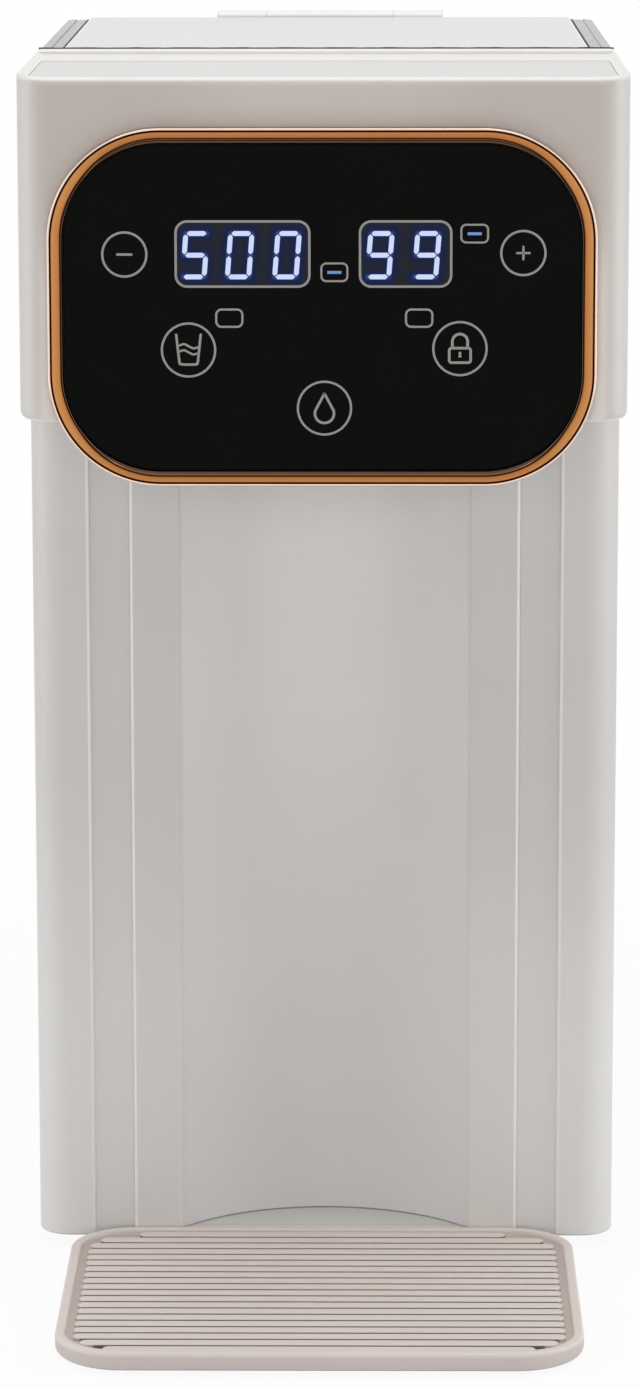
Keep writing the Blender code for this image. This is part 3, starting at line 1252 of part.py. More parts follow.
def make_tank_socket():
    """Cup in the base's top that the tank's valve plugs into, with the pin that lifts the valve."""
    top, flange = BASE_TOP, SHELF_BOTTOM - FIT
    groove = 2 * SEAL_WIRE_RADIUS + FIT
    profile = [
        (0, SOCKET_BOTTOM + SOCKET_FLOOR),
        (SOCKET_BORE, SOCKET_BOTTOM + SOCKET_FLOOR),
        (SOCKET_BORE, top - groove),
        (SEAL_RADIUS + SEAL_WIRE_RADIUS + FIT, top - groove),
        (SEAL_RADIUS + SEAL_WIRE_RADIUS + FIT, top),
        (SOCKET_RADIUS, top),
        (SOCKET_RADIUS, flange),
        (SOCKET_FLANGE_RADIUS, flange),
        (SOCKET_FLANGE_RADIUS, flange - SOCKET_FLANGE_THICKNESS),
        (SOCKET_RADIUS, flange - SOCKET_FLANGE_THICKNESS),
        (SOCKET_RADIUS, SOCKET_BOTTOM),
        *barb_profile(SOCKET_BOTTOM, -1),
        (0, SOCKET_BOTTOM - BARB_LENGTH),
    ]
    socket = node("tank_socket", shape(add_turned, profile, (0, VALVE_Y, 0)), WHITE_PLASTIC)
    pin = (SOCKET_BOTTOM + SOCKET_FLOOR / 2, POPPET_BOTTOM - FIT)
    join(socket, shape(add_rod, SOCKET_PIN_RADIUS, *pin, (0, VALVE_Y, 0), "Z", HOLE_STEPS))
    drain = bmesh.new()
    low, high = SOCKET_BOTTOM - BARB_LENGTH - CUT_OVERRUN, SOCKET_BOTTOM + SOCKET_FLOOR / 3
    add_rod(drain, BARB_BORE, low, high, (0, VALVE_Y, 0), "Z", HOLE_STEPS)
    cut(socket, drain)
    cross = bmesh.new()
    reach = SOCKET_BORE - BARB_BORE
    slot = (SOCKET_BOTTOM + SOCKET_FLOOR / 6, SOCKET_BOTTOM + SOCKET_FLOOR + CUT_OVERRUN / 6)
    add_box(cross, (SOCKET_PIN_RADIUS, reach), (VALVE_Y - BARB_BORE / 2, VALVE_Y + BARB_BORE / 2), slot)
    cut(socket, cross)
    node("socket_seal", ring_seal(SEAL_RADIUS, top - SEAL_WIRE_RADIUS, (0, VALVE_Y, 0)), RUBBER)


def ring_seal(radius, level, place):
    """An O-ring about a vertical axis."""
    section = circle(SEAL_WIRE_RADIUS, SEAL_SIDES)
    return shape(add_turned, [(radius + u, level + v) for u, v in section], place, ring=True)


def make_hoses():
    """The water's way: tank socket, pump, heater, separator and spout."""
    socket_foot = (0, VALVE_Y, SOCKET_BOTTOM)
    pump_inlet = (PUMP_X, PUMP_FRONT, PUMP_LEVEL)
    hose_between(
        "inlet_hose", socket_foot, (0, 0, -1), pump_inlet, (0, -1, 0), INLET_ROUTE_SHARES, INLET_HOSE_SWING
    )
    pump_outlet = (PUMP_X, CHAMBER_MIDDLE, PUMP_LEVEL + PUMP_RADIUS + JOIN_OVERLAP)
    heater_foot = (0, HEATER_Y, HEATER_BOTTOM - FIT - HEATER_CAP_HEIGHT)
    hose_between("riser_hose", pump_outlet, (0, 0, 1), heater_foot, (0, 0, -1), RISER_ROUTE_SHARES)
    heater_head = (0, HEATER_Y, HEATER_TOP + FIT + HEATER_CAP_HEIGHT)
    separator_back = (0, SPOUT_Y + SEPARATOR_RADIUS, SEPARATOR_INLET_LEVEL)
    hose_between("outlet_hose", heater_head, (0, 0, 1), separator_back, (0, 1, 0), OUTLET_ROUTE_SHARES)
    spout_root = CHIN_FLOOR + FIT + SPOUT_FLANGE_THICKNESS
    straight = [Vector((0, SPOUT_Y, level)) for level in (spout_root + FIT, SEPARATOR_BOTTOM - FIT)]
    node("spout_hose", shape(add_hose, straight), SILICONE)


# Water tank, its lid, its valve and its float


def make_tank():
    """Smoked tank: side rails beside the lid, a ledge under it, a hinge lug and a hole for the valve."""
    half = HALF_WIDTH - TANK_SIDE_INSET
    outside = plan_outline(half, TANK_FRONT, BODY_BACK, TANK_FRONT_RADIUS, CORNER_RADIUS)
    tank = node(
        "tank_shell",
        shape(add_block, outside, TANK_BOTTOM, TANK_TOP, TANK_BOTTOM_ROUND, RAIL_EDGE),
        SMOKED_PLASTIC,
    )
    cut(tank, shape(add_block, tank_inset(WALL), TANK_FLOOR_TOP, LEDGE_BOTTOM))
    mouth = (LEDGE_BOTTOM - SHARP_RADIUS, TANK_TOP + CUT_OVERRUN)
    cut(tank, shape(add_block, tank_inset(WALL + TANK_FLANGE), *mouth))
    lid_bay = (-HALF_WIDTH + RAIL_WIDTH, HALF_WIDTH - RAIL_WIDTH)
    depth = (TANK_FRONT - CUT_OVERRUN, LID_BACK + FIT)
    cut(tank, shape(add_box, lid_bay, depth, (LEDGE_TOP, TANK_TOP + CUT_OVERRUN)))
    bands = bmesh.new()
    inner = HALF_WIDTH - RAIL_WIDTH - SHARP_RADIUS
    outer = HALF_WIDTH - TANK_SIDE_INSET - RAIL_BEAD_WIDTH
    stepped = (TANK_TOP - RAIL_STEP, TANK_TOP + CUT_OVERRUN)
    for limits in ((-outer, -inner), (inner, outer)):
        add_box(bands, limits, (TANK_FRONT - CUT_OVERRUN, LID_BACK), stepped)
    cut(tank, bands)
    reach = HINGE_HALF_WIDTH + HINGE_CLEARANCE
    rear = (LID_BACK - SHARP_RADIUS, BODY_BACK + CUT_OVERRUN)
    cut(tank, shape(add_box, (-reach, reach), rear, (LEDGE_TOP, TANK_TOP + CUT_OVERRUN)))
    swing = HINGE_RADIUS + HINGE_CLEARANCE
    cut(tank, shape(add_rod, swing, -reach, reach, HINGE_PLACE, "X"))
    lug_end = HINGE_LUG_HALF_WIDTH - HINGE_CLEARANCE
    lug = [(HINGE_Y + y, HINGE_LEVEL + z) for y, z in circle(HINGE_RADIUS, TURN_STEPS // 2)]
    join(tank, shape(add_prism, lug, -lug_end, lug_end, sideways))
    web = (BODY_BACK - WALL, BODY_BACK)
    join(tank, shape(add_box, (-lug_end, lug_end), web, (HINGE_LEVEL - HINGE_WEB_DROP, HINGE_LEVEL)))
    cut(tank, shape(add_rod, HINGE_PIN_RADIUS + FIT, -reach, reach, HINGE_PLACE, "X", SMALL_TURN_STEPS))
    spigot_hole = (TANK_BOTTOM - CUT_OVERRUN, TANK_FLOOR_TOP + WALL)
    cut(tank, shape(add_rod, SPIGOT_RADIUS + FIT, *spigot_hole, (0, VALVE_Y, 0)))
    set_origin(tank, (0, VALVE_Y, TANK_BOTTOM))


def tank_inset(inset):
    """Outline inside the tank, drawn in from its outer faces by an inset."""
    half, back_radius = HALF_WIDTH - TANK_SIDE_INSET - inset, max(CORNER_RADIUS - inset, SHARP_RADIUS)
    return plan_outline(half, TANK_FRONT + inset, BODY_BACK - inset, SHARP_RADIUS, back_radius)


def make_lid():
    """Lid with a skirt inside the tank's mouth and two hinge knuckles on tongues at its back."""
    half = HALF_WIDTH - RAIL_WIDTH - FIT
    plate = plan_outline(half, TANK_FRONT + LID_FRONT_SETBACK, LID_BACK, SHARP_RADIUS, SHARP_RADIUS)
    block = shape(add_block, plate, LID_TOP - LID_THICKNESS, LID_TOP, 0.0, LID_EDGE_ROUND)
    lid = node("tank_lid", block, LID_PLASTIC)
    outer = WALL + TANK_FLANGE + LID_SKIRT_GAP
    skirt = bmesh.new()
    rings = []
    low, high = LID_TOP - LID_THICKNESS - LID_SKIRT_DEPTH, LID_TOP - LID_THICKNESS / 2
    inner = outer + LID_SKIRT_WALL
    for inset, z in ((outer, high), (outer, low), (inner, low), (inner, high)):
        rings.append([(x, y, z) for x, y in tank_inset(inset)()])
    add_loft(skirt, rings, closed=True)
    join(lid, skirt)
    knuckles, tongues = bmesh.new(), bmesh.new()
    section = [(HINGE_Y + y, HINGE_LEVEL + z) for y, z in circle(HINGE_RADIUS, TURN_STEPS // 2)]
    near, far = HINGE_LUG_HALF_WIDTH, HINGE_HALF_WIDTH
    for ends in ((-far, -near), (near, far)):
        add_prism(knuckles, section, *ends, sideways)
        add_box(tongues, ends, (LID_BACK - JOIN_OVERLAP, HINGE_Y), (LEDGE_TOP + 2 * FIT, LID_TOP - FIT))
    join(lid, tongues)
    join(lid, knuckles)
    reach = HINGE_HALF_WIDTH + CUT_OVERRUN
    cut(lid, shape(add_rod, HINGE_PIN_RADIUS + FIT, -reach, reach, HINGE_PLACE, "X", SMALL_TURN_STEPS))
    set_origin(lid, HINGE_PLACE)
    end = HINGE_HALF_WIDTH - HINGE_CLEARANCE
    pin = shape(add_rod, HINGE_PIN_RADIUS, -end, end, HINGE_PLACE, "X", SMALL_TURN_STEPS)
    node("hinge_pin", pin, STEEL)


def make_valve():
    """Outlet valve: body through the tank's floor, poppet on its seat, spring, and a strainer over all."""
    axis = (0, VALVE_Y, 0)
    flange_low = TANK_FLOOR_TOP + FIT
    flange_high = flange_low + VALVE_FLANGE_THICKNESS
    body = [
        (VALVE_BORE, flange_high),
        (VALVE_FLANGE_RADIUS, flange_high),
        (VALVE_FLANGE_RADIUS, flange_low),
        (SPIGOT_RADIUS, flange_low),
        (SPIGOT_RADIUS, SPIGOT_BOTTOM + SPIGOT_CHAMFER),
        (SPIGOT_RADIUS - SPIGOT_CHAMFER, SPIGOT_BOTTOM),
        (VALVE_SEAT_BORE, SPIGOT_BOTTOM),
        (VALVE_SEAT_BORE, SEAT_LEVEL),
        (VALVE_BORE, SEAT_LEVEL),
    ]
    node("valve_body", shape(add_turned, body, axis, ring=True), WHITE_PLASTIC)
    disc_top = POPPET_BOTTOM + POPPET_THICKNESS
    poppet = [
        (0, POPPET_BOTTOM),
        (POPPET_RADIUS, POPPET_BOTTOM),
        (POPPET_RADIUS, disc_top),
        (POPPET_STEM_RADIUS, disc_top),
        (POPPET_STEM_RADIUS, disc_top + POPPET_STEM_LENGTH),
        (0, disc_top + POPPET_STEM_LENGTH),
    ]
    moving = node("valve_poppet", shape(add_turned, poppet, axis, steps=SMALL_TURN_STEPS), RUBBER)
    set_origin(moving, (0, VALVE_Y, POPPET_BOTTOM))
    crown = flange_high + FIT + FILTER_HEIGHT
    spring_low = disc_top + SPRING_WIRE_RADIUS + FIT
    spring_high = crown - FILTER_WALL - FIT - SPRING_WIRE_RADIUS
    count = SPRING_TURNS * SPRING_POINTS_PER_TURN
    turn_radius = SPRING_RADIUS - SPRING_WIRE_RADIUS
    path = []
    for k in range(count + 1):
        angle = 2 * math.pi * k / SPRING_POINTS_PER_TURN
        rise = spring_low + (spring_high - spring_low) * k / count
        path.append(Vector((turn_radius * math.cos(angle), VALVE_Y + turn_radius * math.sin(angle), rise)))
    coil = rings_along(path, circle(SPRING_WIRE_RADIUS, SPRING_SIDES), (1, 0, 0))
    node("valve_spring", shape(add_loft, coil), STEEL)
    strainer = [
        (0, crown),
        (FILTER_RADIUS, crown),
        (VALVE_FLANGE_RADIUS - FIT, flange_high + FIT),
        (VALVE_FLANGE_RADIUS - FIT - FILTER_WALL, flange_high + FIT),
        (FILTER_RADIUS - FILTER_WALL, crown - FILTER_WALL),
        (0, crown - FILTER_WALL),
    ]
    sieve = node("tank_filter", shape(add_turned, strainer, axis), WHITE_PLASTIC)
    slots = bmesh.new()
    for k in range(FILTER_SLOTS):
        angle = 2 * math.pi * k / FILTER_SLOTS
        out = Vector((math.cos(angle), math.sin(angle)))
        across = Vector((-math.sin(angle), math.cos(angle)))
        half, centre = FILTER_SLOT_WIDTH / 2, Vector((0, VALVE_Y))
        near, far = FILTER_RADIUS - 2 * FILTER_WALL, VALVE_FLANGE_RADIUS + CUT_OVERRUN
        corners = ((near, -half), (far, -half), (far, half), (near, half))
        points = [centre + out * r + across * s for r, s in corners]
        add_prism(slots, points, flange_high + FIT + FILTER_WALL, crown - 2 * FILTER_WALL)
    cut(sieve, slots)


def make_float():
    """Level float that slides on a post standing on the tank's floor, under the post's cap."""
    axis = (FLOAT_X, FLOAT_Y, 0)
    foot_top = TANK_FLOOR_TOP + FIT + GUIDE_FOOT_HEIGHT
    cap_low = foot_top + 2 * FIT + FLOAT_HEIGHT + FLOAT_TRAVEL
    post = [
        (0, TANK_FLOOR_TOP + FIT),
        (GUIDE_FOOT_RADIUS, TANK_FLOOR_TOP + FIT),
        (GUIDE_FOOT_RADIUS, foot_top),
        (GUIDE_RADIUS, foot_top),
        (GUIDE_RADIUS, cap_low),
        (GUIDE_CAP_RADIUS, cap_low),
        (GUIDE_CAP_RADIUS, cap_low + GUIDE_CAP_HEIGHT),
        (0, cap_low + GUIDE_CAP_HEIGHT),
    ]
    node("float_guide", shape(add_turned, post, axis, steps=SMALL_TURN_STEPS), WHITE_PLASTIC)
    low = foot_top + FIT
    body = shape(add_tube, FLOAT_RADIUS, FLOAT_BORE, low, low + FLOAT_HEIGHT, axis, steps=SMALL_TURN_STEPS)
    set_origin(node("level_float", body, WHITE_PLASTIC), (FLOAT_X, FLOAT_Y, low))


# Drip tray


def tray_outline(inset=0.0):
    """Outline of the tray seen from above, drawn in all round by an inset."""
    half, front, back = TRAY_HALF_WIDTH - inset, TRAY_FRONT + inset, TRAY_BACK - inset
    radius = max(TRAY_CORNER - inset, SHARP_RADIUS)
    return rounded_outline(half, front, back, radius, radius, PANEL_CORNER_STEPS, PANEL_CORNER_STEPS)


def make_tray():
    """Ribbed tray with a rounded rim and inward-sloping sides, a tongue under the column and a mat below."""
    body = []
    slope = TRAY_FLARE / (TRAY_HEIGHT - TRAY_UNDERSIDE)
    levels = [(TRAY_UNDERSIDE, TRAY_FLARE)]
    shoulder = TRAY_HEIGHT - TRAY_RIM_ROUND
    for step in range(ROUND_STEPS + 1):
        angle = math.pi / 2 * step / ROUND_STEPS
        rise, inward = TRAY_RIM_ROUND * math.sin(angle), TRAY_RIM_ROUND * (1 - math.cos(angle))
        levels.append((shoulder + rise, slope * (TRAY_RIM_ROUND - rise) + inward))
    for z, inset in levels:
        body.append([(x, y, z) for x, y in tray_outline(inset)])
    tray = node("drip_tray", shape(add_loft, body), TRAY_PLASTIC)
    recess = [[(x, y, z) for x, y in tray_outline(inset)] for z, inset in (
        (TRAY_FLOOR_TOP, TRAY_RIM + TRAY_RIM_ROUND),
        (shoulder, TRAY_RIM),
        (TRAY_HEIGHT + CUT_OVERRUN, TRAY_RIM - TRAY_RIM_ROUND / 2),
    )]
    cut(tray, shape(add_loft, recess))
    ribs = bmesh.new()
    middle = (TRAY_FRONT + TRAY_BACK) / 2
    for k in range(RIB_COUNT):
        y = middle + (k - (RIB_COUNT - 1) / 2) * RIB_PITCH
        add_rib(ribs, y)
    join(tray, ribs)
    tongue = (COLUMN_FRONT - TRAY_RIM - TRAY_FLARE, COLUMN_FRONT + TONGUE_LENGTH)
    limits = (-TONGUE_HALF_WIDTH, TONGUE_HALF_WIDTH)
    join(tray, shape(add_box, limits, tongue, (TRAY_UNDERSIDE, TRAY_UNDERSIDE + TONGUE_THICKNESS)))
    set_origin(tray, (0, TRAY_BACK, TRAY_UNDERSIDE))
    foot = [(x, y) for x, y in tray_outline(TRAY_PAD_INSET)]
    pad = node("tray_pad", shape(add_prism, foot, 0, TRAY_UNDERSIDE - FIT), RUBBER)
    set_origin(pad, (0, TRAY_BACK, 0))


def add_rib(bm, y):
    """One rib across the tray, shorter where the corners close in, with its top edges chamfered."""
    nearest = min(y - TRAY_FRONT, TRAY_BACK - y) - RIB_WIDTH / 2
    closing = max(TRAY_CORNER - nearest, 0.0)
    corner = TRAY_CORNER - TRAY_RIM
    side = TRAY_HALF_WIDTH - TRAY_CORNER + math.sqrt(max(corner**2 - closing**2, 0.0))
    half = side - RIB_END_CHANNEL

    def outline(inset=0.0):
        reach = RIB_WIDTH / 2 - inset
        radius = reach - FIT
        return rounded_outline(half - inset, y - reach, y + reach, radius, radius, SHARP_STEPS, SHARP_STEPS)

    top, sunk = TRAY_HEIGHT - RIB_DROP, TRAY_FLOOR_TOP - TRAY_FLOOR / 2
    rings = []
    for z, inset in ((sunk, 0.0), (top - RIB_TOP_CHAMFER, 0.0), (top, RIB_TOP_CHAMFER)):
        rings.append([(x, v, z) for x, v in outline(inset)])
    add_loft(bm, rings)


# Electrics


def make_power_board():
    """Board on the pan's posts with its transformer, relay and heatsink."""
    half = POWER_BOARD_WIDTH / 2
    left, right = POWER_BOARD_X - half, POWER_BOARD_X + half
    bm = bmesh.new()
    add_box(bm, (left, right), (POWER_BOARD_FRONT, POWER_BOARD_BACK), (BOARD_BOTTOM, BOARD_TOP))
    board = node("power_board", bm, BOARD_GREEN)
    holes = bmesh.new()
    through = (BOARD_BOTTOM - STANDOFF_HEIGHT / 2, HEAD_BOTTOM)
    for place in standoff_places():
        add_rod(holes, SCREW_HOLE_RADIUS, *through, place, "Z", HOLE_STEPS)
    cut(board, holes)
    seat = BOARD_TOP + FIT
    wide, deep, tall = TRANSFORMER_SIZE
    back = POWER_BOARD_BACK - PART_MARGIN - STANDOFF_INSET
    x = right - PART_MARGIN - wide / 2
    core = bmesh.new()
    add_box(core, (x - wide / 2, x + wide / 2), (back - deep, back), (seat, seat + tall))
    transformer = node("transformer", core, TAPE_YELLOW)
    windows = bmesh.new()
    notch, edge, half = tall / 4, wide / 5, wide / 2
    for side in (-1, 1):
        limits = sorted((x + side * (half - edge), x + side * (half + CUT_OVERRUN)))
        add_box(windows, limits, (back - deep + edge, back - edge), (seat + notch, seat + tall - notch))
    cut(transformer, windows)
    wide, deep, tall = RELAY_SIZE
    low = left + PART_MARGIN
    node("relay", shape(add_box, (low, low + wide), (back - deep, back), (seat, seat + tall)), PART_BLUE)
    wide, deep, tall = HEATSINK_SIZE
    front = POWER_BOARD_FRONT + PART_MARGIN + STANDOFF_INSET
    outline = heatsink_outline(right - PART_MARGIN, front, deep, wide)
    node("heatsink", shape(add_prism, outline, seat, seat + tall), ALUMINIUM)


def heatsink_outline(base_x, front, deep, wide):
    """Comb outline: a plate on the right whose fins point left."""
    pitch = (deep - HEATSINK_FIN) / (HEATSINK_FINS - 1)
    points = [(base_x, front), (base_x, front + deep)]
    for k in reversed(range(HEATSINK_FINS)):
        y = front + k * pitch
        root, tip = base_x - HEATSINK_FIN, base_x - wide
        points += [(tip, y + HEATSINK_FIN), (tip, y)]
        if k:
            points += [(root, y), (root, y - pitch + HEATSINK_FIN)]
    return points


def make_ribbon():
    """Flat cable from the power board up the column to the display board, with a plug at each end."""
    plug_x, plug_y, plug_z = RIBBON_PLUG_SIZE
    low_plug_y = POWER_BOARD_FRONT + STANDOFF_INSET + plug_y
    plug_level = BOARD_TOP + FIT
    high_plug_y = BOARD_FRONT + BOARD_THICKNESS + FIT
    plugs = bmesh.new()
    across = (RIBBON_X - plug_x / 2, RIBBON_X + plug_x / 2)
    add_box(plugs, across, (low_plug_y, low_plug_y + plug_y), (plug_level, plug_level + plug_z))
    upper = (RIBBON_TOP_LEVEL - plug_z / 2, RIBBON_TOP_LEVEL + plug_z / 2)
    add_box(plugs, across, (high_plug_y, high_plug_y + plug_y), upper)
    middle = plug_level + plug_z / 2
    column = HEAD_FRONT + RIBBON_BACK_SETBACK
    bend = RIBBON_BEND
    points = [
        (RIBBON_X, low_plug_y + JOIN_OVERLAP, middle),
        (RIBBON_X, column + 2 * bend, middle),
        (RIBBON_X, column + bend / 3, middle + bend / 3),
        (RIBBON_X, column, middle + 2 * bend),
        (RIBBON_X, column, RIBBON_TOP_LEVEL - 2 * bend),
        (RIBBON_X, column - bend / 3, RIBBON_TOP_LEVEL - bend / 3),
        (RIBBON_X, column - 2 * bend, RIBBON_TOP_LEVEL),
        (RIBBON_X, high_plug_y + plug_y - JOIN_OVERLAP, RIBBON_TOP_LEVEL),
    ]
    half, thin = RIBBON_HALF_WIDTH, RIBBON_THICKNESS / 2
    section = [(half, thin), (-half, thin), (-half, -thin), (half, -thin)]
    cable = rings_along(smooth_path(points, RIBBON_STEPS), section, (1, 0, 0))
    ribbon = node("ribbon_cable", shape(add_loft, cable), WHITE_PLASTIC)
    join(ribbon, plugs)


def make_gland():
    """Cord gland in the back wall, with its hexagon nut inside. Its bore takes a mains lead."""
    place = (GLAND_X, BODY_BACK, GLAND_LEVEL)
    inner_end = -WALL - FIT - GLAND_NUT_THICKNESS - FIT
    outside = GLAND_FLANGE_THICKNESS
    profile = [
        (GLAND_BORE, inner_end),
        (GLAND_RADIUS, inner_end),
        (GLAND_RADIUS, FIT),
        (GLAND_FLANGE_RADIUS, FIT),
        (GLAND_FLANGE_RADIUS, outside - GLAND_BORE / 4),
        (GLAND_FLANGE_RADIUS - GLAND_BORE / 4, outside),
        (GLAND_BORE, outside),
    ]
    node("cord_gland", shape(add_turned, profile, place, "Y", ring=True), RUBBER)
    bm = bmesh.new()
    radius = GLAND_FLANGE_RADIUS + GLAND_NUT_THICKNESS / 4
    hexagon = [(GLAND_X + u, GLAND_LEVEL + v) for u, v in circle(radius, 6)]
    nut_back = BODY_BACK - WALL - FIT
    add_prism(bm, hexagon, nut_back - GLAND_NUT_THICKNESS, nut_back, upright)
    nut = node("gland_nut", bm, BLACK_PLASTIC)
    cut(nut, shape(add_rod, GLAND_RADIUS + FIT, -WALL - CUT_OVERRUN, CUT_OVERRUN, place, "Y"))


make_body_shell()
make_bottom_pan()
make_feet()
make_niche_panel()
make_service_cover()
make_head_shell()
make_top_plate()
make_chin_cover()
make_panel_trim()
make_panel_glass()
make_panel_frame()
make_displays()
make_display_board()
make_spout()
make_separator()
make_heater()
make_pump()
make_tank_socket()
make_hoses()
make_tank()
make_lid()
make_valve()
make_float()
make_tray()
make_power_board()
make_ribbon()
make_gland()
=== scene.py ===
"""Instant hot water dispenser: its finished surfaces, finishes and studio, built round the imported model.

Units are metres, +Z is up and the machine faces -Y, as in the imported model. Each shape is an outline with
outward directions, drawn in by a profile of (inset, height) and skinned with quads.
"""

import functools
import math

import bmesh
import bpy
import numpy as np
from mathutils import Matrix


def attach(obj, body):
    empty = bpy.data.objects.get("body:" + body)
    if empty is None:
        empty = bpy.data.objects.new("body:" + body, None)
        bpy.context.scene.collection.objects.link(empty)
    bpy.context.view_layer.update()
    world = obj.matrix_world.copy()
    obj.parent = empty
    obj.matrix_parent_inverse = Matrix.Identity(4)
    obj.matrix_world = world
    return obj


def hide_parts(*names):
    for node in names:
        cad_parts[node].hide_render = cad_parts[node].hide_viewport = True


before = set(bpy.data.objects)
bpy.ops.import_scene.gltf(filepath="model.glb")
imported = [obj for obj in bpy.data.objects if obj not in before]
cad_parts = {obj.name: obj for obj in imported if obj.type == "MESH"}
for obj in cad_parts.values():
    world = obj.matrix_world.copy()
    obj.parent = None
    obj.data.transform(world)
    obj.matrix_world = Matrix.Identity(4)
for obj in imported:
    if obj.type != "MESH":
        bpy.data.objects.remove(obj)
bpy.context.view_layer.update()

# Main sizes
HALF_WIDTH = 0.0875
WALL = 0.0025
FIT = 0.0003
OVERRUN = 0.012
SMALL_ROUND = 0.0012
HEAD_FRONT = -0.0941
COLUMN_FRONT = -0.0491
CHANNEL_FLOOR = -0.0475
TOWER_BACK = 0.0094
COVER_FRONT = 0.0064
BODY_BACK = 0.1679
BODY_BOTTOM = 0.0042
SHELL_BOTTOM = 0.0038
PAN_TOP = 0.0060
BASE_TOP = 0.110
HEAD_BOTTOM = 0.260
HEAD_TOP = 0.3586
COLUMN_TOP = HEAD_BOTTOM - FIT
INNER_HALF_WIDTH = HALF_WIDTH - WALL
CORNER = 0.010
VALVE_Y = 0.0889
PANEL_HALF_WIDTH = 0.0783
PANEL_MIDDLE = -0.0003
PANEL_BOTTOM = 0.2424
PANEL_TOP = 0.3447
PANEL_CORNER = 0.0322
RIM_TOP = 0.3599
LID_TOP = 0.3600
CHANNEL_HALF_WIDTH = 0.0703
INSERT_HALF_WIDTH = 0.0581
TRAY_HALF_WIDTH = 0.0755
TRAY_MIDDLE = -0.0009
TRAY_CORNER = 0.020
TRAY_FRONT = -0.17045
TRAY_BACK = -0.0494
TRAY_TOP = 0.0068
RIB_TOP = 0.0062
TRAY_FLOOR = 0.0051


# Shapes


def outline(corners, steps=8):
    """Points and outward directions round a closed outline, counter-clockwise. Each corner is (u, v, radius):
    its arc starts where the arriving side touches the circle, and turns evenly to the leaving side."""
    table = np.array(corners, float)
    place, radius = table[:, :2], table[:, 2:3]
    arriving = place - np.roll(place, 1, 0)
    arriving /= np.linalg.norm(arriving, axis=1, keepdims=True)
    leaving = np.roll(arriving, -1, 0)
    cross = arriving[:, 0] * leaving[:, 1] - arriving[:, 1] * leaving[:, 0]
    turn = np.arctan2(cross, (arriving * leaving).sum(1))[:, None]
    start = place - arriving * radius * np.tan(np.abs(turn) / 2)
    centre = start + np.stack([-arriving[:, 1], arriving[:, 0]], 1) * np.sign(turn) * radius
    angle = turn * np.linspace(0, 1, steps + 1)
    cos, sin = np.cos(angle), np.sin(angle)

    def turned_by(vector):
        u, v = vector[:, :1], vector[:, 1:]
        return np.stack([u * cos - v * sin, u * sin + v * cos], -1)

    points = centre[:, None] + turned_by(start - centre)
    along = turned_by(arriving)
    outward = np.stack([along[..., 1], -along[..., 0]], -1)
    return points.reshape(-1, 2), outward.reshape(-1, 2)


def rectangle(half, low, high, low_radius, high_radius=None, steps=8, middle=0.0, inset=0.0):
    """Outline of a rectangle with rounded corners, drawn in by an inset."""
    high_radius = low_radius if high_radius is None else high_radius
    low_radius, high_radius = (max(radius - inset, 0.0002) for radius in (low_radius, high_radius))
    left, right, low, high = middle - half + inset, middle + half - inset, low + inset, high - inset
    return outline([(right, low, low_radius), (right, high, high_radius),
                    (left, high, high_radius), (left, low, low_radius)], steps)


def rounded(*sizes, **more):
    """A rounded rectangle's outline as a function of its inset."""
    return lambda inset=0.0: rectangle(*sizes, inset=inset, **more)


def flat(u, v, w):
    """Outline in plan, height upwards."""
    return u, v, w


def upright(u, v, w):
    """Outline seen from the front, height along Y."""
    return u, w, v


def drawn_in(shape, profile, place=flat):
    """Rings of one outline: at each (inset, height) of the profile its points move against their outward
    directions by the inset."""
    points, outward = shape
    table = np.array(profile, float)
    across = points[None] - table[:, :1, None] * outward[None]
    height = np.broadcast_to(table[:, 1:], across.shape[:2])
    return np.stack(place(across[..., 0], across[..., 1], height), -1)


def levels_of(shape_at, profile, place=flat):
    """Rings of an outline that is worked out anew at each (inset, height) of the profile."""
    rings = []
    for inset, height in profile:
        points, _ = shape_at(inset)
        rings.append(np.stack(place(points[:, 0], points[:, 1], np.full(len(points), height)), -1))
    return np.stack(rings)


def arc(u, v, across, up, start, end, steps):
    """Points on an oval round (u, v): across times the angle's cosine and up times its sine, from start to
    end in degrees."""
    angle = np.radians(np.linspace(start, end, steps))
    return np.stack([u + across * np.cos(angle), v + up * np.sin(angle)], 1)


def quarter(radius, inset, height, way, steps=4):
    """Profile rows of a quarter round: from the side at (inset, height) to the end face, one radius along."""
    return arc(inset + radius, height, -radius, way * radius, 0, 90, steps + 1).tolist()


def rounded_ends(low, high, low_round=0.0, high_round=0.0, steps=4):
    """Profile of a block whose end edges are quarter rounds."""
    lower = quarter(low_round, 0.0, low + low_round, -1, steps)[::-1] if low_round else [[0.0, low]]
    upper = quarter(high_round, 0.0, high - high_round, 1, steps) if high_round else [[0.0, high]]
    return lower + upper


def skin(rings, closed=False, capped=True, wrapped=True):
    """Points and faces over a grid of rings: quads between neighbours, and a face on each end."""
    rows, columns = rings.shape[:2]
    row = np.arange(rows if closed else rows - 1)[:, None]
    column = np.arange(columns if wrapped else columns - 1)[None]
    next_row, next_column = (row + 1) % rows, (column + 1) % columns
    corners = (row * columns + column, row * columns + next_column,
               next_row * columns + next_column, next_row * columns + column)
    faces = np.stack(corners, -1).reshape(-1, 4).tolist()
    if capped and not closed:
        faces += [list(range(columns))[::-1], list(range((rows - 1) * columns, rows * columns))]
    return rings.reshape(-1, 3), faces


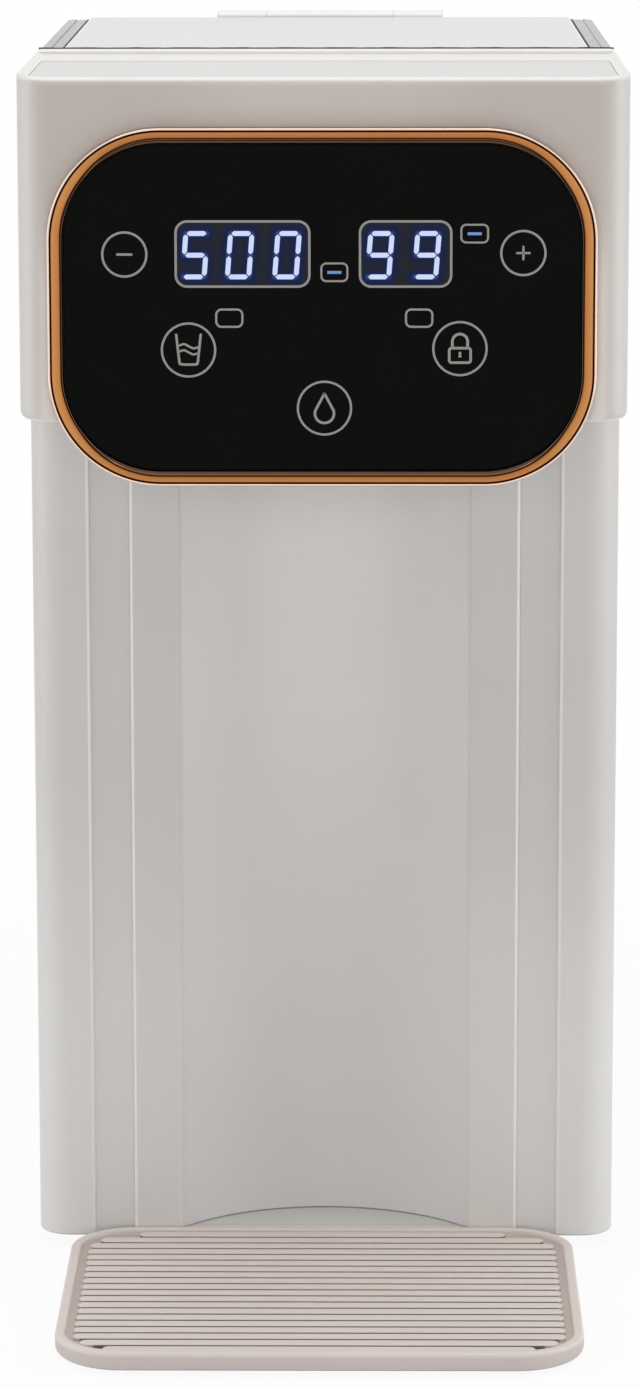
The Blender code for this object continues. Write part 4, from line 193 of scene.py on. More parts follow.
def turned(profile, centre, axis="Z", steps=48, ring=False):
    """A profile of (radius, distance along the axis) turned a full circle: x and y are the radius times the
    angle's cosine and sine."""
    table = np.array(profile, float)
    angle = np.linspace(0, 2 * math.pi, steps, endpoint=False)[None]
    u, v = table[:, :1] * np.cos(angle), table[:, :1] * np.sin(angle)
    w = np.broadcast_to(table[:, 1:], u.shape)
    across = {"X": (w, u, v), "Y": (u, w, v), "Z": (u, v, w)}[axis]
    rings = np.stack(across, -1) + np.array(centre, float)
    return skin(rings, closed=ring, capped=False)


def rod(radius, low, high, centre, axis="Z", steps=32):
    """A plain round bar between two distances along its axis."""
    return turned([(0, low), (radius, low), (radius, high), (0, high)], centre, axis, steps)


def block(shape_at, low, high, low_round=0.0, high_round=0.0, place=flat, steps=5):
    """A slab of an outline's shape whose end edges are quarter rounds."""
    return skin(levels_of(shape_at, rounded_ends(low, high, low_round, high_round, steps=steps), place))


def box(x_range, y_range, z_range):
    """A plain block between two distances on each axis."""
    (left, right), (front, back) = x_range, y_range
    corners = np.array([(left, front), (right, front), (right, back), (left, back)])
    return skin(drawn_in((corners, corners * 0), [(0, z) for z in z_range]))


def stroke(path, width, level, closed=False, height=0.00008):
    """A printed line: a low section carried along a path of (x, z) on the glass. The side directions are the
    path's own, turned a quarter; open ends are round."""
    path = np.array(path, float)
    if closed:
        ahead = np.roll(path, -1, 0) - np.roll(path, 1, 0)
    else:
        ahead = np.gradient(path, axis=0)
    ahead /= np.linalg.norm(ahead, axis=1, keepdims=True)
    side = np.stack([-ahead[:, 1], ahead[:, 0]], 1)
    half = np.full(len(path), width / 2)
    if not closed:
        angle = np.linspace(0, math.pi / 2, 5)[:-1]
        reach, end = np.cos(angle)[:, None], np.maximum(np.sin(angle), 0.02) * width / 2
        first = path[:1] - ahead[:1] * reach * width / 2
        last = (path[-1:] + ahead[-1:] * reach * width / 2)[::-1]
        path = np.concatenate([first, path, last])
        side = np.concatenate([np.repeat(side[:1], 4, 0), side, np.repeat(side[-1:], 4, 0)])
        half = np.concatenate([end, half, end[::-1]])
    section = ((-1.0, 0.0), (-0.8, 1.0), (0.8, 1.0), (1.0, 0.0))
    rings = []
    for across, up in section:
        places = path + side * (half * across)[:, None]
        rings.append(np.stack([places[:, 0], np.full(len(places), level - up * height), places[:, 1]], -1))
    return skin(np.stack(rings, 1), closed=closed)


def raw(name, parts):
    """One mesh of all the parts, its doubles merged and its faces turned outwards."""
    points = np.concatenate([part[0] for part in parts])
    starts = np.cumsum([0, *(len(part[0]) for part in parts)])
    faces = [[k + int(start) for k in face] for start, part in zip(starts, parts) for face in part[1]]
    mesh = bpy.data.meshes.new(name)
    mesh.from_pydata(points.tolist(), [], faces)
    settle(mesh)
    made = bpy.data.objects.new(name, mesh)
    bpy.context.scene.collection.objects.link(made)
    return made


def settle(mesh):
    """Merges a mesh's doubles and turns its faces outwards."""
    bm = bmesh.new()
    bm.from_mesh(mesh)
    bmesh.ops.remove_doubles(bm, verts=bm.verts, dist=0.000002)
    bmesh.ops.recalc_face_normals(bm, faces=bm.faces)
    bm.to_mesh(mesh)
    bm.free()


def carve(whole, parts, operation="DIFFERENCE"):
    """Takes each part away from a piece, or joins it on."""
    tools = [raw("tool", [part]) for part in parts]
    for tool in tools:
        step = whole.modifiers.new("step", "BOOLEAN")
        step.operation, step.solver, step.object = operation, "EXACT", tool
    shaped = bpy.data.meshes.new_from_object(whole.evaluated_get(bpy.context.evaluated_depsgraph_get()))
    whole.modifiers.clear()
    whole.data = shaped
    for tool in tools:
        bpy.data.objects.remove(tool)
    return whole


def even_faces(made):
    """Lets the large faces set the shading of their edges."""
    weighted = made.modifiers.new("even_faces", "WEIGHTED_NORMAL")
    weighted.mode, weighted.keep_sharp = "FACE_AREA", True


def finished(made, finish, replaces=(), body="machine", angle=32):
    """Gives a piece its finish and its body: smooth faces, with sharp edges above an angle."""
    mesh = made.data
    mesh.materials.clear()
    mesh.materials.append(finish.made)
    mesh.shade_smooth()
    mesh.set_sharp_from_angle(angle=math.radians(angle))
    even_faces(made)
    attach(made, body)
    if replaces:
        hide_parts(*replaces)


def piece(name, parts, finish, replaces=(), body="machine", angle=32):
    """One finished piece from its parts."""
    finished(raw(name, parts), finish, replaces, body, angle)


# Finishes


def tone(red, green, blue):
    """Linear colour of three screen values from 0 to 255."""
    values = np.array([red, green, blue]) / 255
    return tuple(np.where(values <= 0.04045, values / 12.92, ((values + 0.055) / 1.055) ** 2.4).tolist())


def operator(operation, swapped=False):
    """A method that adds one Math node, with the other value first where the two are swapped."""

    def method(self, *others):
        values = (*others, self) if swapped else (self, *others)
        return self.finish.add("Math", {"operation": operation}, dict(enumerate(values)))

    return method


class Wire:
    """A node's socket in a sum. Each operator adds one Math node, on whichever side the number stands."""

    def __init__(self, finish, node, output=0):
        self.finish, self.node, self.socket = finish, node, node.outputs[output]

    def __getitem__(self, output):
        return Wire(self.finish, self.node, output)

    __add__, __radd__ = operator("ADD"), operator("ADD", swapped=True)
    __sub__, __rsub__ = operator("SUBTRACT"), operator("SUBTRACT", swapped=True)
    __mul__, __rmul__ = operator("MULTIPLY"), operator("MULTIPLY", swapped=True)
    __truediv__, __abs__ = operator("DIVIDE"), operator("ABSOLUTE")
    __gt__, __lt__ = operator("GREATER_THAN"), operator("LESS_THAN")
    smaller, larger, fraction = operator("MINIMUM"), operator("MAXIMUM"), operator("FRACT")


class Finish:
    """A finish for one of the record's slots: a material, its shader, and one method that adds any node."""

    def __init__(self, name, slot, **shader):
        self.slot = slot
        self.made = bpy.data.materials.new(name)
        self.made.use_nodes = True
        self.nodes = self.made.node_tree.nodes
        self.links = self.made.node_tree.links
        self.shader = self.nodes["Principled BSDF"]
        for socket, value in shader.items():
            self.put(self.shader.inputs[socket.replace("_", " ")], value)

    def put(self, socket, value):
        """Links a wire to a socket, or writes a value into it."""
        if isinstance(value, Wire):
            self.links.new(value.socket, socket)
        elif isinstance(value, tuple) and len(value) == 3 and len(socket.default_value) == 4:
            socket.default_value = (*value, 1.0)
        else:
            socket.default_value = value

    def add(self, kind, settings=None, sockets=None, output=0):
        """Adds a node: its settings first, with a ramp's stops, then its sockets' values or links."""
        node = self.nodes.new("ShaderNode" + kind)
        for name, value in (settings or {}).items():
            if name == "stops":
                ramp = node.color_ramp.elements
                while len(ramp) < len(value):
                    ramp.new(0.5)
                for stop, (place, colour) in zip(ramp, value):
                    stop.position, stop.color = place, (*colour, 1.0)
            else:
                setattr(node, name, value)
        for name, value in (sockets or {}).items():
            self.put(node.inputs[name], value)
        return Wire(self, node, output)

    def place(self):
        """The point on the piece, in metres."""
        return self.add("TexCoord", output="Object")

    def along(self, axis):
        """The point's distance along one axis."""
        return self.add("SeparateXYZ", {}, {0: self.place()}, axis)

    def inset(self, axis, centre, middle, half, rise, corner):
        """How far the point lies inside a rounded rectangle's edge, in X and one other axis."""
        across = abs(self.along("X") - centre) - (half - corner)
        onwards = abs(self.along(axis) - middle) - (rise - corner)
        beyond = self.add("CombineXYZ", {}, {0: across.larger(0.0), 1: onwards.larger(0.0)})
        reach = self.add("VectorMath", {"operation": "LENGTH"}, {0: beyond}, "Value")
        return corner - reach - across.larger(onwards).smaller(0.0)

    def noise(self, scale, detail=2.0, roughness=0.5, vector=None):
        """Cloudy noise from 0 to 1, with scale features to the metre."""
        sockets = {"Vector": vector or self.place(), "Scale": scale, "Detail": detail, "Roughness": roughness}
        return self.add("TexNoise", {}, sockets)

    def stretched(self, x, y, z):
        """The point on the piece with its axes scaled, for marks that run one way."""
        return self.add("Mapping", {"vector_type": "POINT"}, {"Vector": self.place(), "Scale": (x, y, z)})

    def blend(self, share, first, second):
        """The colour between two, by share."""
        return self.add("Mix", {"data_type": "RGBA"}, {0: share, 6: first, 7: second}, output=2)

    def ramp(self, share, bands):
        """A colour by share, through bands of (place, screen colour)."""
        stops = [(place, tone(*colour)) for place, colour in bands]
        return self.add("ValToRGB", {"stops": stops}, {0: share})

    def step(self, value, low, high):
        """Rises smoothly from 0 at low to 1 at high."""
        return self.add("MapRange", {"interpolation_type": "SMOOTHSTEP"}, {0: value, 1: low, 2: high})

    def set(self, **sockets):
        """Puts wires or values on the shader."""
        for name, value in sockets.items():
            self.put(self.shader.inputs[name.replace("_", " ")], value)
        return self

    def bumped(self, height, strength, distance):
        """Turns a height from 0 to 1 into the shader's normal."""
        self.set(Normal=self.add("Bump", {}, {"Strength": strength, "Distance": distance, "Height": height}))
        return self


def moulded(name, slot, colour, roughness, grain, texture=0.35, tints=()):
    """Injection-moulded plastic: a fine spark-eroded grain, faint cloudiness from the melt, and a gloss that
    changes a little where it flowed. Each tint is another colour and where it shows, from 0 to 1."""
    made = Finish(name, slot)
    cloud = made.noise(11, 3.0, 0.55)
    fleck = made.noise(5200, 1.0)
    share = made.step(cloud, 0.3, 0.7) * 0.7 + fleck * 0.3

    def grained(shade):
        return made.blend(share, shade, tuple(min(1.0, part * 1.05) for part in shade))

    base = grained(colour)
    for other, where in tints:
        base = made.blend(where(made), base, grained(other))
    made.set(Base_Color=base, Roughness=roughness - 0.03 + cloud * 0.06 + fleck * 0.02)
    return made.bumped(made.noise(grain, 2.0, 0.6), texture, 0.00012)


def drawn_metal(name, slot, colour, roughness, along):
    """Metal with fine marks that run along one axis."""
    made = Finish(name, slot, Metallic=1.0)
    marks = made.noise(1, 3.0, 0.6, vector=made.stretched(*along))
    cloud = made.noise(60, 2.0)
    dark = tuple(part * 0.86 for part in colour)
    made.set(Base_Color=made.blend(made.step(marks, 0.35, 0.65), dark, colour))
    made.set(Roughness=roughness + (marks - 0.5) * 0.12 + (cloud - 0.5) * 0.06)
    return made.bumped(marks, 0.12, 0.00005)


def sideways(made):
    """The point's distance from the middle plane, to either side."""
    return abs(made.along("X"))


def tray_inset(made):
    """How far the point lies inside the tray's outline."""
    middle, rise = (TRAY_FRONT + TRAY_BACK) / 2, (TRAY_BACK - TRAY_FRONT) / 2
    return made.inset("Y", TRAY_MIDDLE, middle, TRAY_HALF_WIDTH, rise, TRAY_CORNER)


def rising(measure, low, high):
    """A place that comes in from 0 at low to 1 at high, by an axis or another measure."""
    return lambda made: made.step(measure(made) if callable(measure) else made.along(measure), low, high)


def falling(measure, low, high):
    """A place that goes out from 1 at low to 0 at high."""
    return lambda made: 1 - rising(measure, low, high)(made)


def meeting(*places):
    """Where several places meet: the product of their shares."""
    return lambda made: functools.reduce(Wire.__mul__, [place(made) for place in places])


def any_of(*places):
    """Where any of several places is: the largest of their shares."""
    return lambda made: functools.reduce(Wire.larger, [place(made) for place in places])


# Places on the head where light and shade are painted: painted shade on its front, painted light in the
# front's middle, on the strips beside the panel and on its top, painted highlights on its edges
# Painted shade: the head's front darker than its sides and top, as less light falls on it; lighter again in
# its middle
in_front = falling("Y", HEAD_FRONT, HEAD_FRONT + 0.0030)
painted_light_mid_front = meeting(in_front, falling(sideways, 0.015, 0.055))
# Painted light: lifts the shade that the panel's surround casts on the strips beside it
painted_light_beside_panel = meeting(in_front, falling("Z", 0.295, 0.325), rising(sideways, 0.0740, 0.0780),
                       falling(sideways, 0.0795, 0.0830))
# Painted light: the head's top lighter, as the light falls on it from above
painted_top_light = rising("Z", HEAD_TOP - 0.0012, HEAD_TOP - 0.0003)
# Painted highlights on the head's top front edge, the rim's crest and the head's lower edge
front_edge = meeting(rising("Z", HEAD_TOP - 0.0007, HEAD_TOP - 0.0003),
                     falling("Y", HEAD_FRONT + 0.0024, HEAD_FRONT + 0.0034))
painted_edge_highlights = any_of(front_edge, rising("Z", RIM_TOP - 0.0006, RIM_TOP - 0.0002),
                  falling("Z", HEAD_BOTTOM + 0.0005, HEAD_BOTTOM + 0.0012))

# Places on the column and its insert where light and shade are painted
# Painted shade: darker high up, under the head's overhang
high_up = rising("Z", 0.05, 0.165)
# Painted highlight along the pillars' front edges
painted_pillar_highlight = meeting(rising(sideways, CHANNEL_HALF_WIDTH - 0.0002, CHANNEL_HALF_WIDTH),
                      falling(sideways, CHANNEL_HALF_WIDTH + 0.0006, CHANNEL_HALF_WIDTH + 0.0008),
                      falling("Y", COLUMN_FRONT + 0.0006, COLUMN_FRONT + 0.0012))
# Painted shadow: a dark line along the shell's lowest edge
painted_foot_shadow = falling("Z", SHELL_BOTTOM + 0.0001, SHELL_BOTTOM + 0.0005)
# Painted light in the insert's hollow, to lift the shade that falls in it: less high up, most in its middle
in_hollow = rising("Y", COLUMN_FRONT + 0.0002, COLUMN_FRONT + 0.003)
high_hollow = meeting(in_hollow, high_up)
painted_light_mid_hollow = meeting(high_hollow, falling(sideways, 0.010, 0.030))
# Painted highlights on the wings' rounded outer edges
painted_wing_highlights = rising(sideways, INSERT_HALF_WIDTH - 0.0011, INSERT_HALF_WIDTH - 0.0006)

# Places on the tray where shade is painted: between its ribs, in the channel inside its rim, on its side and
# at its foot
# Painted shade between the ribs
painted_groove_shade = meeting(rising(tray_inset, 0.0060, 0.0068), falling("Z", RIB_TOP - 0.00035, RIB_TOP - 0.00015))
# Painted shade in the sunken channel inside the rim
painted_channel_shade = meeting(rising(tray_inset, 0.0027, 0.0031), falling("Z", RIB_TOP - 0.0004, RIB_TOP - 0.0002))
# Painted shade on the tray's outer side
painted_tray_side_shade = meeting(falling(tray_inset, 0.0003, 0.0009), falling("Z", 0.0050, 0.0060))
# Painted shadow: a dark line along the tray's foot
painted_tray_foot_shadow = falling("Z", 0.0012, 0.0018)

# Places on the lid where highlights are painted: its rolled side edges and the top of its knuckles
painted_lid_highlights = any_of(rising(sideways, HALF_WIDTH - 0.0088, HALF_WIDTH - 0.0084),
                   rising("Z", LID_TOP + 0.0003, LID_TOP + 0.0008))

# The shell's tints: painted shade high up, a painted highlight on the pillars' edges and a painted shadow at
# its foot
SHELL = moulded("satin_shell", "shell_plastic", tone(219, 217, 214), 0.42, 2400,
                tints=((tone(205, 202, 200), high_up), (tone(228, 224, 221), painted_pillar_highlight),
                       (tone(140, 138, 136), painted_foot_shadow)))
# The head's tints are painted shade on its front, painted light beside the panel and on its top, and painted
# highlights on its edges
HEAD = moulded("satin_head", "shell_plastic", tone(206, 203, 199), 0.42, 2400,
               tints=((tone(197, 189, 182), in_front), (tone(205, 198, 190), painted_light_mid_front),
                      (tone(222, 216, 209), painted_light_beside_panel),
                      (tone(221, 219, 216), painted_top_light), (tone(229, 224, 217), painted_edge_highlights)))
PLATE = moulded("satin_plate", "shell_plastic", tone(203, 203, 202), 0.44, 2400)
# The insert's tints: painted shade high up, painted light in the hollow and painted highlights on the wings'
# edges
INSERT = moulded("satin_insert", "shell_plastic", tone(215, 212, 209), 0.42, 2400,
                 tints=((tone(202, 198, 197), high_up), (tone(219, 216, 214), in_hollow),
                        (tone(214, 210, 207), high_hollow), (tone(224, 220, 218), painted_light_mid_hollow),
                        (tone(234, 230, 227), painted_wing_highlights)))
# The tray's tints are painted shade and a painted shadow at its foot
TRAY = moulded("warm_grey_tray", "tray_plastic", tone(221, 210, 203), 0.46, 2000, 0.45,
               tints=((tone(196, 185, 178), painted_channel_shade), (tone(118, 106, 98), painted_groove_shade),
                      (tone(203, 192, 189), painted_tray_side_shade),
                      (tone(112, 106, 102), painted_tray_foot_shadow)))
# The lid's tint is painted highlights on its edges and knuckles
LID = moulded("pale_lid", "lid_plastic", tone(205, 205, 205), 0.34, 2800, 0.25,
              tints=((tone(224, 224, 223), painted_lid_highlights),))
WHITE = moulded("natural_white", "white_plastic", tone(226, 225, 219), 0.42, 2600, 0.3)
BLACK = moulded("matt_black", "black_plastic", tone(32, 32, 34), 0.50, 2400, 0.4)
BLUE = moulded("relay_blue", "part_blue", tone(38, 84, 158), 0.42, 2600, 0.3)


def make_smoked():
    """Clear smoked plastic: polished grey walls, a darker, finely textured top, and painted shade along its
    outer top edge at the front.
    """
    made = Finish("smoked_clear", "smoked_plastic", Transmission_Weight=0.86, IOR=1.49,
                  Specular_IOR_Level=0.3)
    cloud = made.noise(16, 2.0)
    speck = made.step(made.noise(4200, 2.0, 0.7), 0.35, 0.7)
    textured = made.blend(speck * 0.35 + cloud * 0.4, tone(58, 59, 60), tone(88, 89, 89))
    top = made.step(made.along("Z"), 0.3515, 0.3545)
    shade = made.blend(top, made.blend(cloud, tone(186, 188, 190), tone(198, 200, 201)), textured)
    # Painted shade: near black along the tank's outer top edge at the front
    edge = meeting(rising(sideways, 0.0858, 0.0866), falling("Y", 0.013, 0.050), rising("Z", 0.3570, 0.3580))
    made.set(Base_Color=made.blend(edge(made), shade, tone(24, 24, 24)))
    made.set(Roughness=0.03 + cloud * 0.03 + top * (0.07 + speck * 0.1))
    return made.bumped(speck * top, 0.06, 0.00005)


def make_copper():
    """Polished copper-coloured plating with its reflections painted into its tone, which follows the distance
    from the panel's edge:
    a painted highlight on the bead, painted shade in the groove, a painted dark reflection and glint on the
    lip beside the glass, orange gold on the band, and on the level runs a narrower band and darker painted
    reflections."""
    made = Finish("copper_plating", "copper_trim", Metallic=1.0)
    middle, rise = (PANEL_BOTTOM + PANEL_TOP) / 2, (PANEL_TOP - PANEL_BOTTOM) / 2
    inset = made.inset("Z", PANEL_MIDDLE, middle, PANEL_HALF_WIDTH, rise, PANEL_CORNER)
    level_run = made.step(abs(made.along("Z") - middle) - rise, -0.016, 0.0)
    reach, bead = 0.005, 0.0012
    # Painted light in the bands: a highlight on the bead, shade in the groove, a dark reflection and a glint
    # on the lip
    bands = ((0.0, (150, 114, 98)), (0.036, (240, 216, 198)), (0.096, (250, 230, 214)),
             (0.124, (136, 86, 60)), (0.144, (32, 8, 0)), (0.2, (34, 10, 2)), (0.228, (140, 86, 46)),
             (0.276, (208, 148, 94)), (0.48, (202, 140, 82)), (0.64, (190, 130, 74)), (0.692, (112, 68, 34)),
             (0.724, (44, 20, 6)), (0.792, (36, 20, 12)), (0.824, (150, 118, 98)), (0.86, (70, 52, 42)),
             (1.0, (104, 82, 68)))
    # Painted reflection: on the level runs the band's inner part turns dark sooner, as they mirror darker
    # surroundings
    colour = made.ramp((inset + (inset - bead).larger(0.0) * level_run * 0.5) / reach, bands)
    cloud = made.noise(24, 2.0)
    marks = made.noise(1, 2.0, vector=made.stretched(2600, 900, 2600))
    inner = made.step(inset, 0.0007, 0.0012)
    # Painted reflection: the level runs darker, besides a random cloudy darkening
    shade = {0: cloud * 0.5 + level_run * inner * 0.75, 6: colour, 7: (0.80, 0.70, 0.62)}
    warm = made.add("Mix", {"data_type": "RGBA", "blend_type": "MULTIPLY"}, shade, 2)
    made.set(Base_Color=warm, Roughness=0.13 + cloud * 0.06 + marks * 0.05)
    return made.bumped(marks, 0.05, 0.00003)


def make_glass():
    """Black glass: a deep even black under a polished face with the faintest smears."""
    made = Finish("black_glass_face", "black_glass", IOR=1.13)
    smear = made.noise(30, 3.0, 0.6)
    made.set(Base_Color=made.blend(smear, tone(6, 6, 5), tone(9, 9, 8)))
    made.set(Roughness=0.05 + made.step(smear, 0.5, 0.8) * 0.07)
    return made.bumped(made.noise(90, 1.0), 0.01, 0.00005)


def make_rubber(name, slot, colour, roughness, **shader):
    """Soft rubber or silicone: a dull skin with fine dust and a little unevenness."""
    made = Finish(name, slot, **shader)
    dust = made.noise(1800, 2.0)
    cloud = made.noise(70, 2.0)
    pale = tuple(part * 0.6 + 0.4 * max(colour) + 0.01 for part in colour)
    made.set(Base_Color=made.blend(made.step(dust, 0.45, 0.8) * 0.35, colour, pale))
    made.set(Roughness=roughness + (cloud - 0.5) * 0.12)
    return made.bumped(dust, 0.3, 0.0001)


SMOKED = make_smoked()
COPPER = make_copper()
GLASS = make_glass()
RUBBER = make_rubber("soft_rubber", "rubber", tone(44, 43, 42), 0.78)
SILICONE = make_rubber("milky_silicone", "silicone", tone(216, 216, 210), 0.45, Subsurface_Weight=0.2)
STEEL = drawn_metal("drawn_steel", "steel", tone(196, 197, 199), 0.26, (300, 300, 4000))
ALUMINIUM = drawn_metal("extruded_aluminium", "aluminium", tone(203, 206, 209), 0.36, (4000, 4000, 260))


def make_board():
    """Green circuit board: a grid of traces under the solder mask, with pads on it."""
    made = Finish("green_board", "board_green", Roughness=0.36)
    lines = [abs((made.along(axis) * 310).fraction() - 0.5) < 0.16 for axis in ("X", "Y")]
    patch = made.noise(90, 1.0) > 0.5
    trace = lines[0] * patch + lines[1] * (1 - patch)
    weave = made.noise(2600, 1.0)
    made.set(Base_Color=made.blend(trace * 0.6 + weave * 0.2, tone(22, 92, 52), tone(58, 138, 78)))
    return made.bumped(trace, 0.25, 0.00005)


def make_tape():
    """Yellow winding tape: laps that run round, with a soft shine."""
    made = Finish("winding_tape", "tape_yellow")
    lap = (made.along("Z") * 420).fraction()
    made.set(Base_Color=made.blend(made.step(lap, 0.0, 0.2), tone(150, 112, 24), tone(222, 180, 62)))
    made.set(Roughness=0.34 + lap * 0.1)
    return made.bumped(lap, 0.3, 0.0002)


def make_print():
    """Warm grey screen print on the glass, with a faint painted glow."""
    # Painted light: the ink glows faintly
    made = Finish("panel_print", "black_glass", Emission_Strength=0.2, IOR=1.2)
    grain = made.noise(9000, 1.0)
    ink = made.blend(grain, tone(132, 130, 126), tone(152, 150, 146))
    return made.set(Base_Color=ink, Emission_Color=ink, Roughness=0.45 + grain * 0.1)


def make_lit(name, first, second):
    """Lit bars, a little paler and brighter in patches."""
    made = Finish(name, "black_glass", Roughness=0.4, Base_Color=tone(40, 44, 60), Emission_Strength=0.95)
    patch = made.noise(420, 2.0)
    return made.set(Emission_Color=made.blend(patch, first, second))


def make_window():
    """Display window: dark slate lit navy round the bars, by the glow kept on its points."""
    made = Finish("display_window", "black_glass", Emission_Strength=1.0, IOR=1.13)
    glow = made.add("Attribute", {"attribute_name": "glow"}, output="Fac")
    haze = made.noise(700, 2.0)
    made.set(Base_Color=made.blend(haze, tone(12, 13, 15), tone(18, 19, 21)))
    bands = ((0.0, (35, 35, 38)), (0.1, (28, 31, 42)), (0.4, (16, 26, 60)), (0.8, (16, 30, 80)),
             (1.0, (44, 64, 128)))
    made.set(Emission_Color=made.ramp(glow * (0.92 + haze * 0.16), bands))
    return made.set(Roughness=0.24 + haze * 0.08)


BOARD = make_board()
TAPE = make_tape()
PRINT = make_print()
LIT_WHITE = make_lit("lit_white", tone(192, 206, 240), tone(216, 226, 248))
LIT_BLUE = make_lit("lit_blue", tone(84, 122, 196), tone(112, 148, 220))
WINDOW = make_window()

NODE_FINISHES = (SHELL, TRAY, LID, WHITE, BLACK, BLUE, SMOKED, COPPER, GLASS, RUBBER, SILICONE, STEEL,
                 ALUMINIUM, BOARD, TAPE)
FINISHES = {finish.slot: finish for finish in NODE_FINISHES}


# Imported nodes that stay


def smoothing(angle):
    """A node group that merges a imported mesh's loose triangles and shades it smooth below an angle."""
    tree = bpy.data.node_groups.new("smooth_below_angle", "GeometryNodeTree")
    for way in ("INPUT", "OUTPUT"):
        tree.interface.new_socket("Geometry", in_out=way, socket_type="NodeSocketGeometry")
    kinds = ("NodeGroupInput", "GeometryNodeMergeByDistance", "GeometryNodeRemoveAttribute",
             "GeometryNodeSetShadeSmooth", "GeometryNodeSetShadeSmooth", "NodeGroupOutput")
    chain = [tree.nodes.new(kind) for kind in kinds]
    for before, after in zip(chain, chain[1:]):
        tree.links.new(before.outputs[0], after.inputs[0])
    _, merge, remove, faces, edges, _ = chain
    merge.inputs["Distance"].default_value = 0.00001
    remove.inputs["Name"].default_value = "custom_normal"
    faces.domain, edges.domain = "FACE", "EDGE"
    bend = tree.nodes.new("GeometryNodeInputMeshEdgeAngle")
    below = tree.nodes.new("FunctionNodeCompare")
    below.operation = "LESS_THAN"
    below.inputs[1].default_value = math.radians(angle)
    tree.links.new(bend.outputs["Unsigned Angle"], below.inputs[0])
    tree.links.new(below.outputs[0], edges.inputs["Shade Smooth"])
    return tree


SMOOTHING = smoothing(50)


def dress_nodes():
    """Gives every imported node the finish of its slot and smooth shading, set by its large faces."""
    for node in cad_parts.values():
        slot = node.data.materials[0].name.split(".")[0]
        node.data.materials[0] = FINISHES[slot].made
        node.modifiers.new("smooth", "NODES").node_group = SMOOTHING
        even_faces(node)


dress_nodes()


# Housing

RIM_FRONT = 0.0004
PLATE_MARGIN = 0.0033
PLATE_BACK = -0.0248
ROOF_BOTTOM = 0.3537
CARRIER_HALF_WIDTH = 0.062
CHIN_BACK = -0.0506
CHIN_WALL = 0.0022
SCREW_REACH = 0.0805
COVER_SCREW_LEVELS = (0.128, 0.236, 0.330)
COVER_SCREW_SEAT = 0.0076
PAN_SCREW_ROWS = (-0.0121, 0.1339)
BOARD_SCREW_ROWS = (0.0459, 0.1359)
SIDES = (-1, 1)
COVER_SCREWS = [(side * SCREW_REACH, COVER_SCREW_SEAT, z) for z in COVER_SCREW_LEVELS for side in SIDES]
PAN_SCREWS = [(side * SCREW_REACH, row, BODY_BOTTOM - FIT) for row in PAN_SCREW_ROWS for side in SIDES]
BOARD_SCREWS = [(0.0445 + side * 0.025, row, 0.0169) for row in BOARD_SCREW_ROWS for side in SIDES]
SCREW_CLEARANCE = 0.0017
SCREW_DEPTH = 0.0083
BOSS_WIDTH = 0.010
BOSS_HALF = 0.0045
NICHE_HALF_WIDTH = 0.0436
NICHE_RADIUS = 0.0534
GLAND_PLACE = (0.055, BODY_BACK, 0.030)
GLAND_BORE = 0.0073
SOCKET_BORE = 0.0168
SCREW_SINK = 0.0032


def plate_shape(inset=0.0):
    """Outline of the plate let into the head's top."""
    edge = PLATE_MARGIN + inset
    half, front, back = HALF_WIDTH - edge, HEAD_FRONT + edge, PLATE_BACK - inset
    return rectangle(half, front, back, CORNER - edge, max(0.003 - inset, 0.0005), steps=10)


def boss(side, y_range, z_range):
    """A screw boss on a side wall, let 1 mm into it."""
    outer = INNER_HALF_WIDTH + 0.001
    return box(sorted((side * (outer - BOSS_WIDTH), side * outer)), y_range, z_range)


def cover_bosses(*levels):
    """Pairs of screw bosses in front of the service cover."""
    back = COVER_FRONT - FIT
    return [boss(side, (back - BOSS_WIDTH, back), (level - BOSS_HALF, level + BOSS_HALF))
            for level in levels for side in SIDES]


def cover_screw_holes():
    """Clearance for the service cover's screws."""
    return [rod(SCREW_CLEARANCE, -SCREW_DEPTH, OVERRUN, place, "Y", 20) for place in COVER_SCREWS]


def head_rings(plan):
    """Rings of the head's block. Its lower edge is a plain round. Its top edge is a round of 2.4 mm in front
    and of 0.7 mm at the sides, which stand 0.9 mm above the deck and slope down to it. Each ring is a rounded
    rectangle with its own insets in X and Y; a point's height is shared between front and side by its
    direction squared."""
    front_round, side_round, lift = 0.0024, 0.0007, 0.0009
    share = plan(0.0)[1][:, 0] ** 2
    rings = list(levels_of(plan, quarter(0.0028, 0.0, HEAD_BOTTOM + 0.0028, -1, 7)[::-1]))
    angle = np.linspace(0, math.pi / 2, 8)
    rows = np.stack([side_round * (1 - np.cos(angle)), front_round * (1 - np.cos(angle)),
                     lift - side_round * (1 - np.sin(angle)), front_round * (np.sin(angle) - 1)], 1).tolist()
    rows += [[0.0020, 0.0026, 0.35 * lift, 0.0], [0.0032, 0.0032, 0.0, 0.0]]
    for across, along, side_level, front_level in rows:
        inset, shift = (across + along) / 2, (across - along) / 2
        table = rectangle(HALF_WIDTH - shift, HEAD_FRONT - shift, TOWER_BACK + shift, CORNER, SMALL_ROUND,
                          steps=14, inset=inset)[0]
        rings.append(np.column_stack([table, HEAD_TOP + side_level * share + front_level * (1 - share)]))
    return np.stack(rings)


